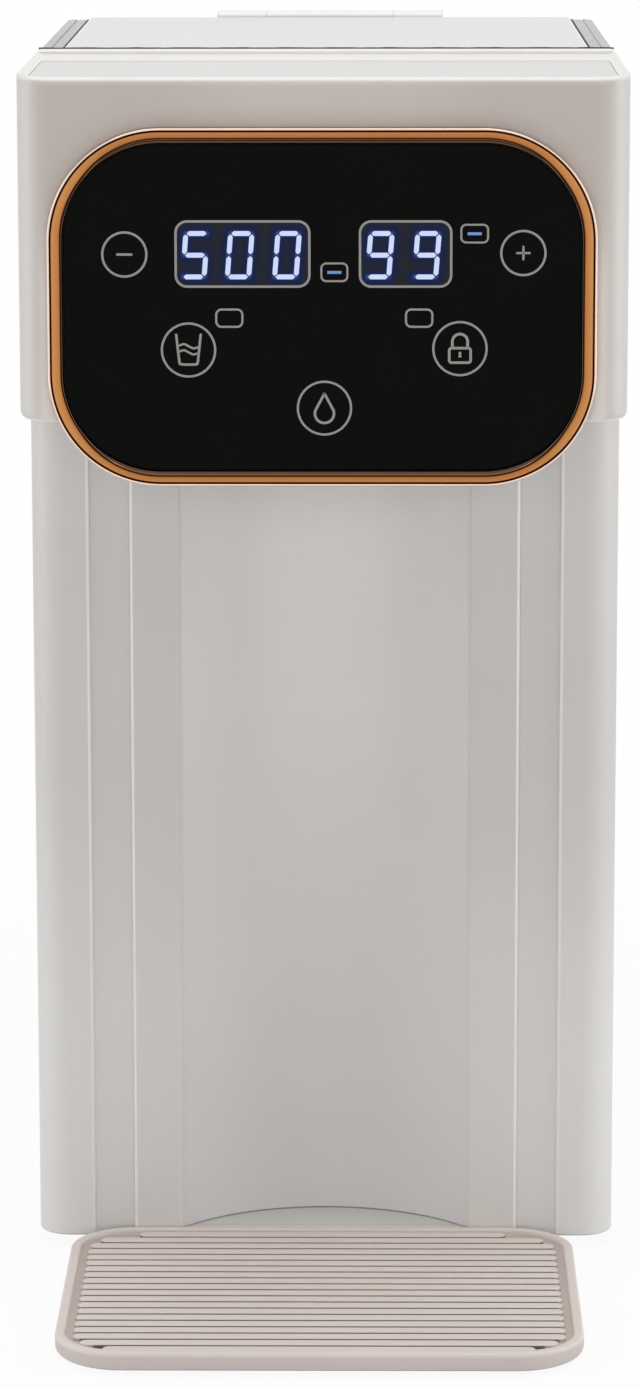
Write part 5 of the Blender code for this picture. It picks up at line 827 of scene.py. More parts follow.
def make_head():
    """Upper housing: a rounded block with a raised back rim on a small fillet, hollow, with openings for the
    panel, the chin, the plate and the cover."""
    plan = rounded(HALF_WIDTH, HEAD_FRONT, TOWER_BACK, CORNER, SMALL_ROUND, steps=14)
    shell = raw("head_housing", [skin(head_rings(plan))])
    reach, rise = 0.0005, 0.0008
    rim = rounded(HALF_WIDTH - reach, RIM_FRONT, TOWER_BACK, SMALL_ROUND, SMALL_ROUND, steps=5)
    foot = arc(-reach, HEAD_TOP + rise, reach, -rise, 90, 0, 6)
    top = rounded_ends(HEAD_TOP, RIM_TOP, 0.0, 0.0005)[1:]
    carve(shell, [skin(levels_of(rim, [(-reach, HEAD_TOP - 0.003), *foot, *top]))], "UNION")
    room = rounded(INNER_HALF_WIDTH, HEAD_FRONT + WALL, TOWER_BACK + OVERRUN, CORNER - WALL, 0.001)
    through, opening_front, carrier_top = WALL + SMALL_ROUND, -0.02399, 0.3283
    inner, below = (-INNER_HALF_WIDTH, INNER_HALF_WIDTH), (HEAD_BOTTOM - OVERRUN, HEAD_BOTTOM + through)
    carrier = (-CARRIER_HALF_WIDTH - FIT, CARRIER_HALF_WIDTH + FIT)
    carve(shell, [
        block(room, HEAD_BOTTOM + WALL, ROOF_BOTTOM),
        box(inner, (opening_front, TOWER_BACK + OVERRUN), below),
        box(carrier, (HEAD_FRONT - OVERRUN, CHIN_BACK - CHIN_WALL), below),
        box(carrier, (HEAD_FRONT - OVERRUN, HEAD_FRONT + through), (HEAD_BOTTOM - OVERRUN, carrier_top)),
        block(plate_shape, HEAD_TOP - 0.0018, HEAD_TOP + OVERRUN),
        block(lambda inset: plate_shape(inset + 0.004), ROOF_BOTTOM - 0.0012, HEAD_TOP + OVERRUN),
    ])
    carve(shell, cover_bosses(COVER_SCREW_LEVELS[2]), "UNION")
    carve(shell, cover_screw_holes())
    finished(shell, HEAD, ["head_shell"])


def make_top_plate():
    """Flush plate in the head's top: full size below, its upper edge set in for a fine groove."""
    top = HEAD_TOP - 0.00012
    profile = [(0.00005, top - 0.0013), (0.00005, top - 0.0003), (0.0001, top - 0.0001), (0.00022, top)]
    piece("head_plate", [skin(levels_of(plate_shape, profile))], PLATE, ["top_plate"])


def make_body():
    """Column and base in one moulding: a rounded block less the tank's bay, its rooms, the front channel with
    round shoulders, the niche's window and the holes."""
    plan = rounded(HALF_WIDTH, COLUMN_FRONT, BODY_BACK, CORNER, steps=14)
    room_front, room_corner = CHANNEL_FLOOR + WALL, CORNER - WALL
    column_room = rounded(INNER_HALF_WIDTH, room_front, COVER_FRONT, room_corner, SMALL_ROUND, steps=6)
    base_room = rounded(INNER_HALF_WIDTH, room_front, BODY_BACK - WALL, room_corner, steps=6)
    shell = raw("body_housing", [block(plan, SHELL_BOTTOM, COLUMN_TOP, 0.0007, 0.0, steps=4)])
    inner, above = (-INNER_HALF_WIDTH, INNER_HALF_WIDTH), (BASE_TOP, HEAD_TOP)
    shoulder, lip = 0.0009, COLUMN_FRONT - 0.00002
    half, fillet, window = CHANNEL_HALF_WIDTH - 0.0004, 0.0004, 0.0516
    beyond = half + 0.004
    right = [(beyond, lip - OVERRUN, 0), (beyond, lip, 0), (half, lip, shoulder),
             (half, CHANNEL_FLOOR, fillet)]
    channel = outline(right + [(-u, v, radius) for u, v, radius in right[::-1]], 6)
    carve(shell, [
        box((-0.2, 0.2), (TOWER_BACK, BODY_BACK + OVERRUN), above),
        block(column_room, BODY_BOTTOM - OVERRUN, HEAD_TOP),
        box(inner, (COVER_FRONT - 0.0012, TOWER_BACK + OVERRUN), above),
        block(base_room, BODY_BOTTOM - OVERRUN, BASE_TOP - WALL),
        skin(drawn_in(channel, [(0, BODY_BOTTOM - OVERRUN), (0, HEAD_TOP)])),
        box((-window, window), (COLUMN_FRONT - OVERRUN, room_front + OVERRUN), (PAN_TOP, HEAD_TOP)),
    ])
    posts = [boss(side, (row - BOSS_HALF, row + BOSS_HALF), (PAN_TOP + FIT, PAN_TOP + 0.020))
             for row in PAN_SCREW_ROWS for side in SIDES]
    carve(shell, cover_bosses(*COVER_SCREW_LEVELS[:2]) + posts, "UNION")
    holes = [rod(SCREW_CLEARANCE, -OVERRUN, SCREW_DEPTH, place, "Z", 20) for place in PAN_SCREWS]
    socket = rod(SOCKET_BORE, BASE_TOP - WALL - OVERRUN, HEAD_TOP, (0, VALVE_Y, 0), steps=48)
    gland = rod(GLAND_BORE, -OVERRUN, OVERRUN, GLAND_PLACE, "Y")
    carve(shell, cover_screw_holes() + holes + [socket, gland])
    finished(shell, SHELL, ["body_shell"])


def make_niche():
    """Front insert: flat wings with round outer edges and, between them, a hollow of one radius."""
    centre = COLUMN_FRONT - math.sqrt(NICHE_RADIUS**2 - NICHE_HALF_WIDTH**2)
    back = CHANNEL_FLOOR - FIT

    def curve(radius, end, steps, trim=0.0):
        reach = math.degrees(math.acos((end - centre) / radius) - trim)
        return [(u, v, 0.0) for u, v in arc(0, centre, radius, radius, 90 - reach, 90 + reach, steps)]

    half, front, brow = INSERT_HALF_WIDTH, COLUMN_FRONT, 0.0006
    hollow = curve(NICHE_RADIUS, front, 49, 0.012)
    behind = curve(NICHE_RADIUS + WALL, back, 33)
    left = [(-half, back, 0.0), (-half, front, SMALL_ROUND), (-NICHE_HALF_WIDTH, front, brow)]
    right = [(-u, v, radius) for u, v, radius in left[::-1]]
    shape = outline([*left, *hollow[::-1], *right, *behind], 5)
    rings = drawn_in(shape, [(0, PAN_TOP + FIT), (0, COLUMN_TOP)])
    piece("niche_insert", [skin(rings)], INSERT, ["niche_panel"], angle=40)


def make_service_cover():
    """Flat cover behind the column and head, its screws sunk in."""
    sheet = rounded(INNER_HALF_WIDTH - FIT, BASE_TOP + FIT, ROOF_BOTTOM - FIT, SMALL_ROUND, steps=4)
    cover = raw("rear_cover", [block(sheet, COVER_FRONT, TOWER_BACK, 0.0, 0.0005, upright)])
    sinks = [rod(SCREW_SINK, 0.0, OVERRUN, place, "Y", 32) for place in COVER_SCREWS]
    carve(cover, cover_screw_holes() + sinks)
    finished(cover, SHELL, ["service_cover"])


SPOUT_Y = -0.0641
CHIN_BOTTOM = 0.248


def make_chin():
    """Tub under the head: rounded outside, open behind the panel, with two posts and the spout's hole."""
    half, wall, corner = CARRIER_HALF_WIDTH + FIT, CHIN_WALL, 0.010
    post_radius, post_reach, post_top, hole_radius = 0.0035, 0.0185, 0.2847, 0.0083
    outside = rounded(half + wall, HEAD_FRONT, CHIN_BACK, SMALL_ROUND, corner, steps=10)
    inside = rounded(half, HEAD_FRONT - OVERRUN, CHIN_BACK - wall, SMALL_ROUND, corner - wall, steps=10)
    tub = raw("chin_tub", [block(outside, CHIN_BOTTOM, COLUMN_TOP, 0.0011, 0.0)])
    carve(tub, [block(inside, CHIN_BOTTOM + wall, COLUMN_TOP + OVERRUN)])
    posts = [rod(post_radius, CHIN_BOTTOM + wall / 2, post_top, (side * post_reach, SPOUT_Y, 0), steps=24)
             for side in SIDES]
    carve(tub, posts, "UNION")
    carve(tub, [rod(hole_radius, CHIN_BOTTOM - OVERRUN, CHIN_BOTTOM + 2 * wall, (0, SPOUT_Y, 0), steps=48)])
    finished(tub, SHELL, ["chin_cover"])


def make_spout():
    """Nozzle: a tapered tip with a rolled lip, a flange on the chin's floor and a barb for its hose."""
    profile = [(0.0018, 0.2635), (0.0028, 0.2635), (0.0032, 0.2598), (0.0028, 0.2598), (0.0028, 0.2525),
               (0.0103, 0.2525), (0.0105, 0.2523), (0.0105, 0.2505), (0.0080, 0.2505), (0.0080, 0.2462),
               (0.0078, 0.2456), (0.0064, 0.2443), (0.0060, 0.24405), (0.0055, 0.2440), (0.0036, 0.2440),
               (0.0031, 0.2442), (0.0030, 0.2446), (0.0030, 0.2505), (0.0018, 0.2525)]
    piece("nozzle", [turned(profile, (0, SPOUT_Y, 0), ring=True)], WHITE, ["spout"])


def make_feet():
    """Rubber feet with a rounded tread and a stem into the pan."""
    profile = [(0, 0), (0.0062, 0), (0.0068, 0.0001), (0.0071, 0.0004), (0.0080, 0.0021), (0.0080, 0.0037),
               (0.0078, 0.0039), (0.0025, 0.0039), (0.0025, 0.0068), (0.0021, 0.0072), (0, 0.0072)]
    places = [(x, y, 0) for y in (-0.0281, 0.1519) for x in (-0.068, 0.068)]
    for number, place in enumerate(places, start=1):
        piece(f"rubber_foot_{number}", [turned(profile, place, steps=40)], RUBBER, [f"foot_{number}"])


def make_gland():
    """Cord gland with a rounded flange, and its hexagon nut."""
    profile = [(0.0039, -0.0071), (0.0070, -0.0071), (0.0070, 0.0003), (0.0095, 0.0003), (0.0095, 0.0013),
               (0.0092, 0.0019), (0.0085, 0.0024), (0.0078, 0.0025), (0.0045, 0.0025), (0.0040, 0.0023),
               (0.0039, 0.0020)]
    piece("gland_body", [turned(profile, GLAND_PLACE, "Y", 48, ring=True)], RUBBER, ["cord_gland"])

    def hexagon(inset):
        reach, (x, _, z) = 0.0105 - inset, GLAND_PLACE
        return outline([(*corner, 0.0) for corner in arc(x, z, reach, reach, 0, 300, 6)], 1)

    front, back, edge = BODY_BACK - 0.0068, BODY_BACK - 0.0028, 0.0003
    nut = raw("gland_hexagon", [block(hexagon, front, back, edge, edge, upright)])
    carve(nut, [rod(GLAND_BORE, -OVERRUN, OVERRUN, GLAND_PLACE, "Y", 40)])
    finished(nut, BLACK, ["gland_nut"])


def screw(name, place, axis, way):
    """Pan-head screw: a domed head with a cross recess, and a shank with a thread's ridges."""
    head = [(0, 0.0016), (0.0012, 0.0016), (0.0021, 0.0013), (0.0027, 0.0008), (0.0029, 0.0003), (0.0029, 0),
            (0.0013, 0)]
    crest, root, half_pitch, slot_width, slot_length = 0.00148, 0.00116, 0.00035, 0.0003, 0.0016
    thread = [(crest if k % 2 else root, -0.0004 - half_pitch * k) for k in range(21)]
    profile = np.array(head + thread + [(0.0004, -0.0079), (0, -0.0081)]) * (1, way)
    made = raw(name, [turned(profile, place, axis, 20)])
    x, y, z = place
    near, far = sorted((way * 0.0008, way * 0.004))
    for long, short in ((slot_length, slot_width), (slot_width, slot_length)):
        if axis == "Y":
            cross = box((x - long, x + long), (y + near, y + far), (z - short, z + short))
        else:
            cross = box((x - long, x + long), (y - short, y + short), (z + near, z + far))
        carve(made, [cross])
    finished(made, STEEL)


def make_screws():
    """Six screws in the service cover, four in the pan and four in the power board."""
    groups = (("cover", COVER_SCREWS, "Y", 1), ("pan", PAN_SCREWS, "Z", -1), ("board", BOARD_SCREWS, "Z", 1))
    for kind, places, axis, way in groups:
        for number, place in enumerate(places, start=1):
            screw(f"{kind}_screw_{number}", place, axis, way)


for make in (make_head, make_top_plate, make_body, make_niche, make_service_cover, make_chin, make_spout,
             make_feet, make_gland, make_screws):
    make()


# Water tank

TANK_HALF_WIDTH = HALF_WIDTH - FIT
TANK_FRONT = 0.0106
TANK_BOTTOM = 0.1103
TANK_TOP = 0.3593
LEDGE_TOP = 0.3572
LID_BACK = 0.1639
HINGE_PLACE = (0, 0.1678, 0.3590)
HINGE_RADIUS = 0.0030
HINGE_HALF = 0.038
LUG_HALF = 0.0202
PIN_BORE = 0.0015
TANK_WALL = 0.0025
LEDGE_WIDTH = 0.0095


def tank_shape(inset, front_radius=SMALL_ROUND):
    """Outline of the tank, drawn in from its outer faces."""
    back_radius = max(CORNER - inset, SMALL_ROUND)
    low, high = TANK_FRONT + inset, BODY_BACK - inset
    return rectangle(TANK_HALF_WIDTH - inset, low, high, front_radius, back_radius, steps=10)


def make_tank():
    """Smoked tank: a rounded box with rails beside the lid, a ledge under it and a lug for the hinge."""
    foot, rim, valve_bore, valve_top = 0.003, 0.0006, 0.0100, 0.1158
    tank = raw("smoked_tank", [block(lambda inset: tank_shape(inset, max(foot - inset, rim)), TANK_BOTTOM,
                                     TANK_TOP, foot, rim)])
    bay, top, ledge_bottom = HALF_WIDTH - 0.0072, TANK_TOP + OVERRUN, 0.353
    step_outer, step_inner = 0.0842, 0.0791
    steps = [box(sorted((side * step_outer, side * step_inner)), (TANK_FRONT - OVERRUN, BODY_BACK + OVERRUN),
                 (TANK_TOP - 0.0003, top)) for side in SIDES]
    carve(tank, [
        skin(levels_of(lambda inset: tank_shape(TANK_WALL + inset, max(0.0020 - inset, 0.0005)),
                       rounded_ends(TANK_BOTTOM + 0.003, 0.3542, 0.0010))),
        block(lambda inset: tank_shape(LEDGE_WIDTH), ledge_bottom, top),
        box((-bay, bay), (TANK_FRONT - OVERRUN, LID_BACK + FIT), (LEDGE_TOP, top)),
        *steps,
        box((-HINGE_HALF, HINGE_HALF), (LID_BACK - 0.0012, BODY_BACK + OVERRUN), (LEDGE_TOP, top)),
        rod(HINGE_RADIUS + 0.0006, -HINGE_HALF, HINGE_HALF, HINGE_PLACE, "X", 40),
    ])
    carve(tank, [rod(HINGE_RADIUS - FIT, -LUG_HALF, LUG_HALF, HINGE_PLACE, "X", 40),
                 box((-LUG_HALF, LUG_HALF), (BODY_BACK - TANK_WALL, BODY_BACK),
                     (ledge_bottom, HINGE_PLACE[2]))], "UNION")
    carve(tank, [rod(PIN_BORE, -HINGE_HALF, HINGE_HALF, HINGE_PLACE, "X", 24),
                 rod(valve_bore, TANK_BOTTOM - OVERRUN, valve_top, (0, VALVE_Y, 0), steps=48)])
    finished(tank, SMOKED, ["tank_shell"], "tank")


def make_lug_sleeve():
    """Pale sleeve clipped over the tank's hinge lug, in line with the lid's knuckles: open below."""
    _, y, z = HINGE_PLACE
    radii, reach = (HINGE_RADIUS, HINGE_RADIUS - 0.00028), LUG_HALF + 0.00076
    outer, inner = (arc(y, z, radius, radius, -20, 200, 25) for radius in radii)
    section = np.concatenate([outer, inner[::-1]])
    rings = np.stack([np.column_stack([np.full(len(section), x), section]) for x in (-reach, reach)])
    piece("lug_sleeve", [skin(rings)], LID, body="tank")


def make_tank_seal():
    """Soft black strips: a half-round bead along the tank's front edge, that closes the gap to the head's
    rim, and a thin one on each side between lid and rail."""
    radius, foot = 0.0004, 0.3580
    bead = arc(0.01015, 0.35985, -radius, radius, 0, 180, 7)
    section = np.concatenate([[(TANK_FRONT, foot), (0.01005, foot)], bead])
    x = np.linspace(-0.0871, 0.0871, 60)[:, None]
    y, z = section[None, :, 0], section[None, :, 1]
    uneven = 0.00004 * np.sin(x * 410) + 0.00003 * np.sin(x * 970 + 1)
    rings = np.stack(np.broadcast_arrays(x, y, z + uneven * (z > foot + 0.001)), -1)
    half, corner, reach = 0.0003, 0.0002, 0.0804
    plans = [rounded(half, 0.0110, LID_BACK, corner, steps=3, middle=side * reach) for side in SIDES]
    strips = [block(plan, 0.3575, TANK_TOP, 0.0, 0.0001) for plan in plans]
    piece("tank_seal", [skin(rings), *strips], RUBBER, body="tank")


def round_bar(radius, low, high, steps):
    """A bar on the hinge's axis, its ends broken by 0.2 mm."""
    neck, edge = radius - 0.0002, 0.0002
    profile = [(0, low), (neck, low), (radius, low + edge), (radius, high - edge), (neck, high), (0, high)]
    return turned(profile, HINGE_PLACE, "X", steps)


def make_lid():
    """Lid with a rolled edge, a skirt inside the tank's mouth and two knuckles on tongues, and its pin."""
    plate = rounded(HALF_WIDTH - 0.0075, TANK_FRONT + 0.0005, LID_BACK, 0.0014, steps=6)
    lid = raw("pale_lid", [block(plate, LID_TOP - 0.0025, LID_TOP, 0.0, SMALL_ROUND, steps=6)])
    outer, inner, low, high = LEDGE_WIDTH + 0.001, LEDGE_WIDTH + 0.003, 0.3525, 0.35875
    skirt = [(outer, high), (outer, low + 0.0002), (outer + 0.0002, low), (inner - 0.0002, low),
             (inner, low + 0.0002), (inner, high)]
    carve(lid, [skin(levels_of(tank_shape, skirt), closed=True)], "UNION")
    arms = []
    for ends in ((-0.0375, -0.021), (0.021, 0.0375)):
        tongue = box(ends, (LID_BACK - 0.001, HINGE_PLACE[1]), (0.3578, LID_TOP - FIT))
        arms += [round_bar(HINGE_RADIUS, *ends, 40), tongue]
    carve(lid, arms, "UNION")
    carve(lid, [rod(PIN_BORE, -0.0495, 0.0495, HINGE_PLACE, "X", 24)])
    finished(lid, LID, ["tank_lid"], "lid")
    piece("steel_pin", [round_bar(PIN_BORE - FIT, -0.037, 0.037, 32)], STEEL, ["hinge_pin"], "tank")


make_tank()
make_lug_sleeve()
make_tank_seal()
make_lid()


# Drip tray

RIB_COUNT = 20
RIB_PITCH = 0.00575
RIB_HALF = 0.00225
RIB_END_INSET = 0.0051

tray_shape = rounded(TRAY_HALF_WIDTH, TRAY_FRONT, TRAY_BACK, TRAY_CORNER, steps=18, middle=TRAY_MIDDLE)


def rib(y):
    """One rib: a bar with round ends and a rounded top, shorter where the corners close in."""
    closing = max(TRAY_CORNER - min(y - TRAY_FRONT + 0.0004, TRAY_BACK - y - 0.0012), 0.0)
    reach = math.sqrt(max((TRAY_CORNER - RIB_END_INSET) ** 2 - closing**2, 0.0))
    half, end_round = TRAY_HALF_WIDTH - TRAY_CORNER + reach, RIB_HALF - 0.00015
    bar = rounded(half, y - RIB_HALF, y + RIB_HALF, end_round, steps=6, middle=TRAY_MIDDLE)
    return skin(levels_of(bar, rounded_ends(TRAY_FLOOR - 0.001, RIB_TOP, 0.0, 0.0005)))


def make_tray():
    """Tray: a dish whose sides turn in at its foot, a rounded rim, its ribs and a tongue, and the mat."""
    rim, lip, foot, rim_width, undercut, turn_in = 0.0008, 0.0005, 0.0010, 0.0028, 0.0022, 0.0024
    side = arc(undercut, foot + turn_in, -undercut, -turn_in, 90, 0, 7)
    outer = quarter(rim, 0.0, TRAY_TOP - rim, 1, 6)
    inner = arc(rim_width - lip, TRAY_TOP - lip, lip, lip, 90, 0, 7)
    floor = [(0.0029, TRAY_FLOOR + 0.0004), (0.0032, TRAY_FLOOR + 0.0001), (0.0037, TRAY_FLOOR)]
    dish = skin(drawn_in(tray_shape(), [*side, *outer, *inner, *floor]))
    middle = (TRAY_FRONT + TRAY_BACK) / 2
    ribs = [rib(middle + (k - (RIB_COUNT - 1) / 2) * RIB_PITCH) for k in range(RIB_COUNT)]
    tongue = rounded(0.030, -0.0555, -0.0311, 0.0005, 0.003, steps=6, middle=TRAY_MIDDLE)
    parts = [dish, *ribs, block(tongue, foot, 0.0030, 0.0, 0.0004)]
    piece("ribbed_tray", parts, TRAY, ["drip_tray"], "tray")
    mat = block(lambda inset: tray_shape(0.0048 + inset), 0.0, 0.0007, 0.0002, 0.0002)
    piece("tray_mat", [mat], RUBBER, ["tray_pad"], "tray")


make_tray()


# Touch panel

TRIM_WIDTH = 0.0044
TRIM_FRONT = HEAD_FRONT - 0.0042
GLASS_FRONT = -0.0977
GLASS_BACK = -0.0959

panel_shape = rounded(PANEL_HALF_WIDTH, PANEL_BOTTOM, PANEL_TOP, PANEL_CORNER, steps=20, middle=PANEL_MIDDLE)


def make_trim():
    """Surround whose section is a half-round bead, a groove, a gently crowned band and a lip beside the
    glass, over a rebate for the panel's frame."""
    across, half, wall = np.linspace(-1, 1, 9), 0.00034, 0.0014
    rows = np.concatenate([
        arc(half, half, -half, -half, 0, 180, 9),
        [(0.00072, 0.0008), (0.00094, 0.0008), (0.00104, 0.0004)],
        np.stack([0.00226 + 0.00118 * across, 0.0001 + 0.0002 * across**4], 1),
        [(0.00356, 0.0006), (0.0038, 0.0007), (0.0041, 0.00055), (TRIM_WIDTH, 0.0009)],
    ]) + (0, TRIM_FRONT)
    section = [(0.0, HEAD_FRONT - FIT), *rows.tolist(), (TRIM_WIDTH, GLASS_BACK), (wall, GLASS_BACK),
               (wall, HEAD_FRONT - FIT)]
    rings = drawn_in(panel_shape(), section, upright)
    piece("trim_ring", [skin(rings, closed=True)], COPPER, ["panel_trim"], angle=50)


def make_panel_glass():
    """Glass with a small round along its edge."""
    edge, soft = TRIM_WIDTH + FIT, 0.0005
    profile = quarter(soft, edge, GLASS_FRONT + soft, -1)
    rings = drawn_in(panel_shape(), profile[::-1] + [(edge, GLASS_BACK)], upright)
    piece("glass_face", [skin(rings)], GLASS, ["panel_glass"])


PRINT_LEVEL = GLASS_FRONT - 0.00002
WINDOWS = ((-0.0419, -0.0039, (-0.0364, -0.0237, -0.01025), "500"), (0.0105, 0.0364, (0.0161, 0.02945), "99"))
WINDOW_LOW, WINDOW_HIGH = 0.29975, 0.3183
DIGIT_LEVEL = 0.3087
LIT = {"0": "abcdef", "5": "acdfg", "9": "abcdfg"}


def segment(start, end):
    """Outline of one lit bar between two points: a hexagon with softened corners, pointed at both ends."""
    start, end = np.array(start, float), np.array(end, float)
    along = (end - start) / np.linalg.norm(end - start)
    side, half, gap, lean = np.array([-along[1], along[0]]), 0.00069, 0.00022, 0.078
    start, end = start + along * gap, end - along * gap
    ahead, aslant = (along - side) * half, (along + side) * half
    points = [start, start + ahead, end - aslant, end, end - ahead, start + aslant]
    return [(x + lean * z, z, 0.0002) for x, z in points]


def digit(number, x):
    """The lit bars of one seven-segment digit."""
    right, top = 0.00305, 0.00618
    left, foot = -right, -top
    ends = {"a": ((left, top), (right, top)), "b": ((right, 0), (right, top)),
            "c": ((right, foot), (right, 0)), "d": ((left, foot), (right, foot)),
            "e": ((left, foot), (left, 0)), "f": ((left, 0), (left, top)), "g": ((left, 0), (right, 0))}
    bars = []
    for name in LIT[number]:
        corners = np.array(segment(*ends[name])) + (x, DIGIT_LEVEL, 0)
        profile = [(0, PRINT_LEVEL), (0, PRINT_LEVEL - 0.00006), (0.0001, PRINT_LEVEL - 0.0001)]
        bars.append((skin(drawn_in(outline(corners, 3), profile, upright)), corners[:, :2]))
    return bars


def rounded_path(left, right, low, high, radius):
    """Closed path round a printed box."""
    return rectangle((right - left) / 2, low, high, radius, steps=8, middle=(left + right) / 2)[0]


def circle_path(x, z, radius):
    """Closed path round a printed ring."""
    return arc(x, z, radius, radius, 0, 355, 72)


def smooth_path(points, steps=24):
    """Path through the points by cubic pieces whose directions are set by their neighbours."""
    points = np.array(points, float)
    padded = np.concatenate([2 * points[:1] - points[1:2], points, 2 * points[-1:] - points[-2:-1]])
    t = np.linspace(0, 1, steps, endpoint=False)[:, None]
    parts = []
    for before, start, end, after in zip(padded, padded[1:], padded[2:], padded[3:]):
        pull, push = (end - before) / 2, (after - start) / 2
        parts.append(start * (2 * t**3 - 3 * t**2 + 1) + pull * (t**3 - 2 * t**2 + t)
                     + end * (3 * t**2 - 2 * t**3) + push * (t**3 - t**2))
    return np.concatenate([*parts, points[-1:]])


def make_windows():
    """Two display windows: a dark fill whose glow falls off with the distance from the lit bars."""
    for name, (left, right, centres, numbers) in zip(("volume", "heat"), WINDOWS):
        bars = [bar for number, x in zip(numbers, centres) for bar in digit(number, x)]
        piece(f"{name}_digits", [bar for bar, _ in bars], LIT_WHITE)
        inner, corner, grid = 0.0004, 0.0028, 0.00035
        across = np.linspace(left + inner, right - inner, round((right - left) / grid))
        upwards = np.linspace(WINDOW_LOW + inner, WINDOW_HIGH - inner, 54)
        x, z = np.meshgrid(across, upwards)
        squeeze = np.clip(corner - np.minimum(z - upwards[0], upwards[-1] - z), 0, corner)
        narrow = corner - np.sqrt(corner**2 - squeeze**2)
        middle, half = (across[0] + across[-1]) / 2, (across[-1] - across[0]) / 2
        x = middle + (x - middle) * (half - narrow) / half
        sheet = np.stack([x, np.full_like(x, GLASS_FRONT - 0.00001), z], -1)
        fill = raw(f"{name}_window", [skin(sheet, capped=False, wrapped=False)])
        points = np.empty(len(fill.data.vertices) * 3)
        fill.data.vertices.foreach_get("co", points)
        place = points.reshape(-1, 3)[:, ::2]
        nearest = np.full(len(place), 1.0)
        for _, corners in bars:
            start, reach = corners[0], corners[3] - corners[0]
            share = np.clip(((place - start) @ reach) / (reach @ reach), 0, 1)
            nearest = np.minimum(nearest, np.linalg.norm(place - start - share[:, None] * reach, axis=1))
        glow = np.exp(-np.maximum(nearest - 0.0006, 0) / 0.0011)
        fill.data.attributes.new("glow", "FLOAT", "POINT").data.foreach_set("value", glow.astype(np.float32))
        finished(fill, WINDOW)


def make_print_lines():
    """Printed lines on the glass: borders, rings and the signs in them; lit bars for the units; a keyhole."""
    lines = []

    def drawn(path, width, closed=False):
        lines.append(stroke(path, width, PRINT_LEVEL, closed))

    for left, right, _, _ in WINDOWS:
        drawn(rounded_path(left, right, WINDOW_LOW, WINDOW_HIGH, 0.0032), 0.0007, True)
    for left, right in ((-0.03045, -0.0230), (0.0236, 0.0311)):
        drawn(rounded_path(left, right, 0.28825, 0.2932, 0.0015), 0.0006, True)
    for left, right, low in ((-0.0005, 0.0069, 0.3013), (0.03925, 0.04685, 0.3123)):
        drawn(rounded_path(left, right, low, low + 0.00505, 0.0014), 0.00056, True)
    for x, z in ((-0.0565, 0.3089), (0.0569, 0.3093)):
        drawn(circle_path(x, z, 0.00628), 0.00066, True)
    for x, z in ((-0.0384, 0.2816), (0.0390, 0.2820), (0.00035, 0.2649)):
        drawn(circle_path(x, z, 0.0076), 0.00064, True)
    drawn(np.linspace((-0.0585, 0.3089), (-0.0545, 0.3089), 9), 0.0007)
    drawn(np.linspace((0.0551, 0.3093), (0.0587, 0.3093), 9), 0.00062)
    drawn(np.linspace((0.0569, 0.3075), (0.0569, 0.3111), 9), 0.00062)
    piece("panel_lines", lines, PRINT)

    lines.clear()
    cup = np.array((-0.0384, 0.2816))
    side = [(-3.5, 4.4), (-3.3, 2.6), (-2.75, -2.4)]
    base = [(-2.6, -3.5), (-2.0, -4.1), (2.0, -4.1), (2.6, -3.5)]
    body = side + base + [(-x, z) for x, z in side[::-1]]
    drawn(smooth_path(np.array(body) / 1000 + cup, 8), 0.0007)
    for drop in (0.0, 1.75):
        wave = np.array([(-2.6, 1.3), (-1.3, 1.7), (0.0, 1.1), (1.3, 0.5), (2.6, 0.75)]) - (0, drop)
        drawn(smooth_path(wave / 1000 + cup, 8), 0.0006)
    lock = np.array((0.0390, 0.2820))
    left, right, low, high = lock[0] - 0.00305, lock[0] + 0.00305, lock[1] - 0.00402, lock[1] + 0.00014
    drawn(rounded_path(left, right, low, high, 0.0007), 0.00074, True)
    arch = [(2.18, 0.6), *arc(0, 2.0, 2.18, 2.18, 0, 180, 21), (-2.18, 0.6)]
    drawn(np.array(arch) / 1000 + lock, 0.00078)
    drop = np.array((0.00035, 0.2649))
    belly = arc(0, -1.55, 2.72, 2.72, 158, 382, 17)
    tear = np.array([(0.0, 4.2), (-1.3, 1.75), *belly, (1.3, 1.75), (0.0, 4.2)])
    drawn(smooth_path(tear / 1000 + drop, 5), 0.00072)
    piece("panel_signs", lines, PRINT)

    bars = [box((x - 0.0020, x + 0.0020), (PRINT_LEVEL - 0.0001, PRINT_LEVEL), (z - 0.0004, z + 0.0004))
            for x, z in ((0.0032, 0.3038), (0.04305, 0.3148))]
    x, z, radius = lock[0], lock[1] - 0.0013, 0.00042
    hole = turned([(0, -0.0001), (radius, -0.00008), (radius, 0)], (x, PRINT_LEVEL, z), "Y", 20)
    sides = ((0.0005, z - 0.0012), (0.0002, z), (-0.0002, z), (-0.0005, z - 0.0012))
    foot = outline([(x + across, height, 0.0001) for across, height in sides], 3)
    wedge = skin(drawn_in(foot, [(0, PRINT_LEVEL), (0, PRINT_LEVEL - 0.00009)], upright))
    piece("unit_bars", bars, LIT_BLUE)
    piece("keyhole", [hole, wedge], PRINT)


make_trim()
make_panel_glass()
make_windows()
make_print_lines()


# Camera, floor and lamps


def stand(thing, side, up, ahead, place):
    """Puts a camera or lamp at a place, by its own directions."""
    matrix = np.eye(4)
    matrix[:3] = np.column_stack([side, up, -ahead, place])
    thing.matrix_world = Matrix(matrix.tolist())
    bpy.context.scene.collection.objects.link(thing)


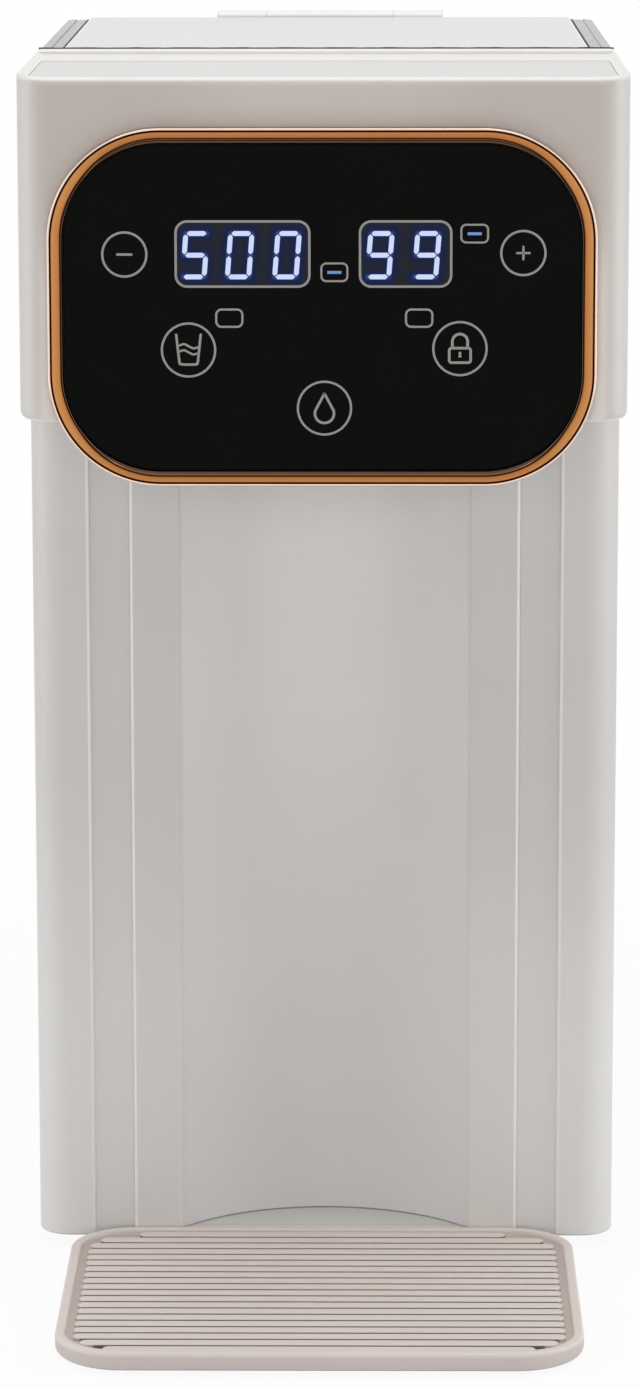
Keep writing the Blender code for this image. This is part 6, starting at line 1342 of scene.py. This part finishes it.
def make_camera():
    """The photograph's point of view: distance, pitch, turn and roll as fitted to its edges."""
    pitch, turn, roll = 0.193242, 0.00971307, -0.00116
    ahead = np.array([-math.sin(turn) * math.cos(pitch), math.cos(turn) * math.cos(pitch), -math.sin(pitch)])
    level = np.array([math.cos(turn), math.sin(turn), 0.0])
    upward = np.cross(level, ahead)
    right = level * math.cos(roll) + upward * math.sin(roll)
    up = upward * math.cos(roll) - level * math.sin(roll)
    lens = bpy.data.cameras.new("portrait")
    lens.sensor_width, lens.lens = 36.0, 131.6
    lens.clip_start, lens.clip_end = 0.05, 50.0
    camera = bpy.data.objects.new("portrait", lens)
    stand(camera, right, up, ahead, (0.01296, -1.5364, 0.4632))
    bpy.context.scene.camera = camera


def make_stage():
    """A level pale floor: a grid of X and Y at one height, that keeps the shadow and fades to white."""
    x, y = np.meshgrid(np.linspace(-4.0, 4.0, 9), np.linspace(-4.0, 4.0, 9))
    rings = np.stack([x, y, np.full_like(x, -0.00015)], -1)
    floor = raw("pale_floor", [skin(rings, capped=False, wrapped=False)])
    floor.data.shade_smooth()
    paper = Finish("white_paper", "", Roughness=0.9)
    fibre = paper.noise(40, 3.0)
    paper.set(Base_Color=paper.blend(fibre, tone(236, 236, 236), tone(240, 240, 240)))
    path = paper.add("LightPath")
    seen = (path["Is Camera Ray"] + path["Is Glossy Ray"] + path["Is Transmission Ray"]).smaller(1.0)
    glow = paper.add("Emission", {}, {"Color": (1.0, 1.0, 1.0), "Strength": 1.0})
    away = paper.add("VectorMath", {"operation": "LENGTH"}, {0: paper.place()}, "Value")
    share = 0.93 + paper.step(away, 0.3, 0.9) * 0.07
    both = paper.add("MixShader", {}, {0: seen * share, 1: Wire(paper, paper.shader), 2: glow})
    paper.links.new(both.socket, paper.nodes["Material Output"].inputs["Surface"])
    floor.data.materials.append(paper.made)


def make_lamp(name, place, aim, size, power, mirrored=True):
    """A softbox at a place, facing a point; one that isn't mirrored gives no glints."""
    lamp = bpy.data.lights.new(name, "AREA")
    lamp.shape, lamp.size, lamp.size_y, lamp.energy = "RECTANGLE", *size, power
    holder = bpy.data.objects.new(name, lamp)
    holder.visible_glossy = mirrored
    ahead = np.array(aim, float) - np.array(place, float)
    ahead /= np.linalg.norm(ahead)
    side = np.cross(ahead, (0.0, 0.0, 1.0) if abs(ahead[2]) < 0.9 else (0.0, 1.0, 0.0))
    side /= np.linalg.norm(side)
    stand(holder, side, np.cross(side, ahead), ahead, place)


def make_world():
    """White all round for what is seen or mirrored, and a softer light from every side for the object."""
    world = bpy.data.worlds.new("studio")
    bpy.context.scene.world = world
    world.use_nodes = True
    nodes, links = world.node_tree.nodes, world.node_tree.links
    ground = nodes["Background"]
    rays = nodes.new("ShaderNodeLightPath").outputs
    seen = rays["Is Camera Ray"]
    for name in ("Is Glossy Ray", "Is Transmission Ray"):
        both = nodes.new("ShaderNodeMath")
        both.operation, both.use_clamp = "ADD", True
        links.new(seen, both.inputs[0])
        links.new(rays[name], both.inputs[1])
        seen = both.outputs[0]
    strength = nodes.new("ShaderNodeMapRange")
    strength.inputs["To Min"].default_value = 0.30
    strength.inputs["To Max"].default_value = 1.0
    links.new(seen, strength.inputs["Value"])
    links.new(strength.outputs[0], ground.inputs["Strength"])
    ground.inputs["Color"].default_value = (1.0, 1.0, 1.0, 1.0)


make_camera()
make_stage()
make_world()
make_lamp("top_box", (0.0, 0.0, 1.5), (0.0, 0.0, 0.2), (1.4, 1.2), 12.0)
make_lamp("left_box", (-1.0, -0.1, 0.3), (0.0, 0.0, 0.2), (0.6, 1.2), 4.2)
make_lamp("right_box", (1.0, -0.1, 0.3), (0.0, 0.0, 0.2), (0.6, 1.2), 4.9)
make_lamp("front_box", (0.0, -2.2, 0.35), (0.0, 0.0, 0.2), (1.6, 1.2), 14.0, mirrored=False)
bpy.context.scene.view_settings.view_transform = "Standard"
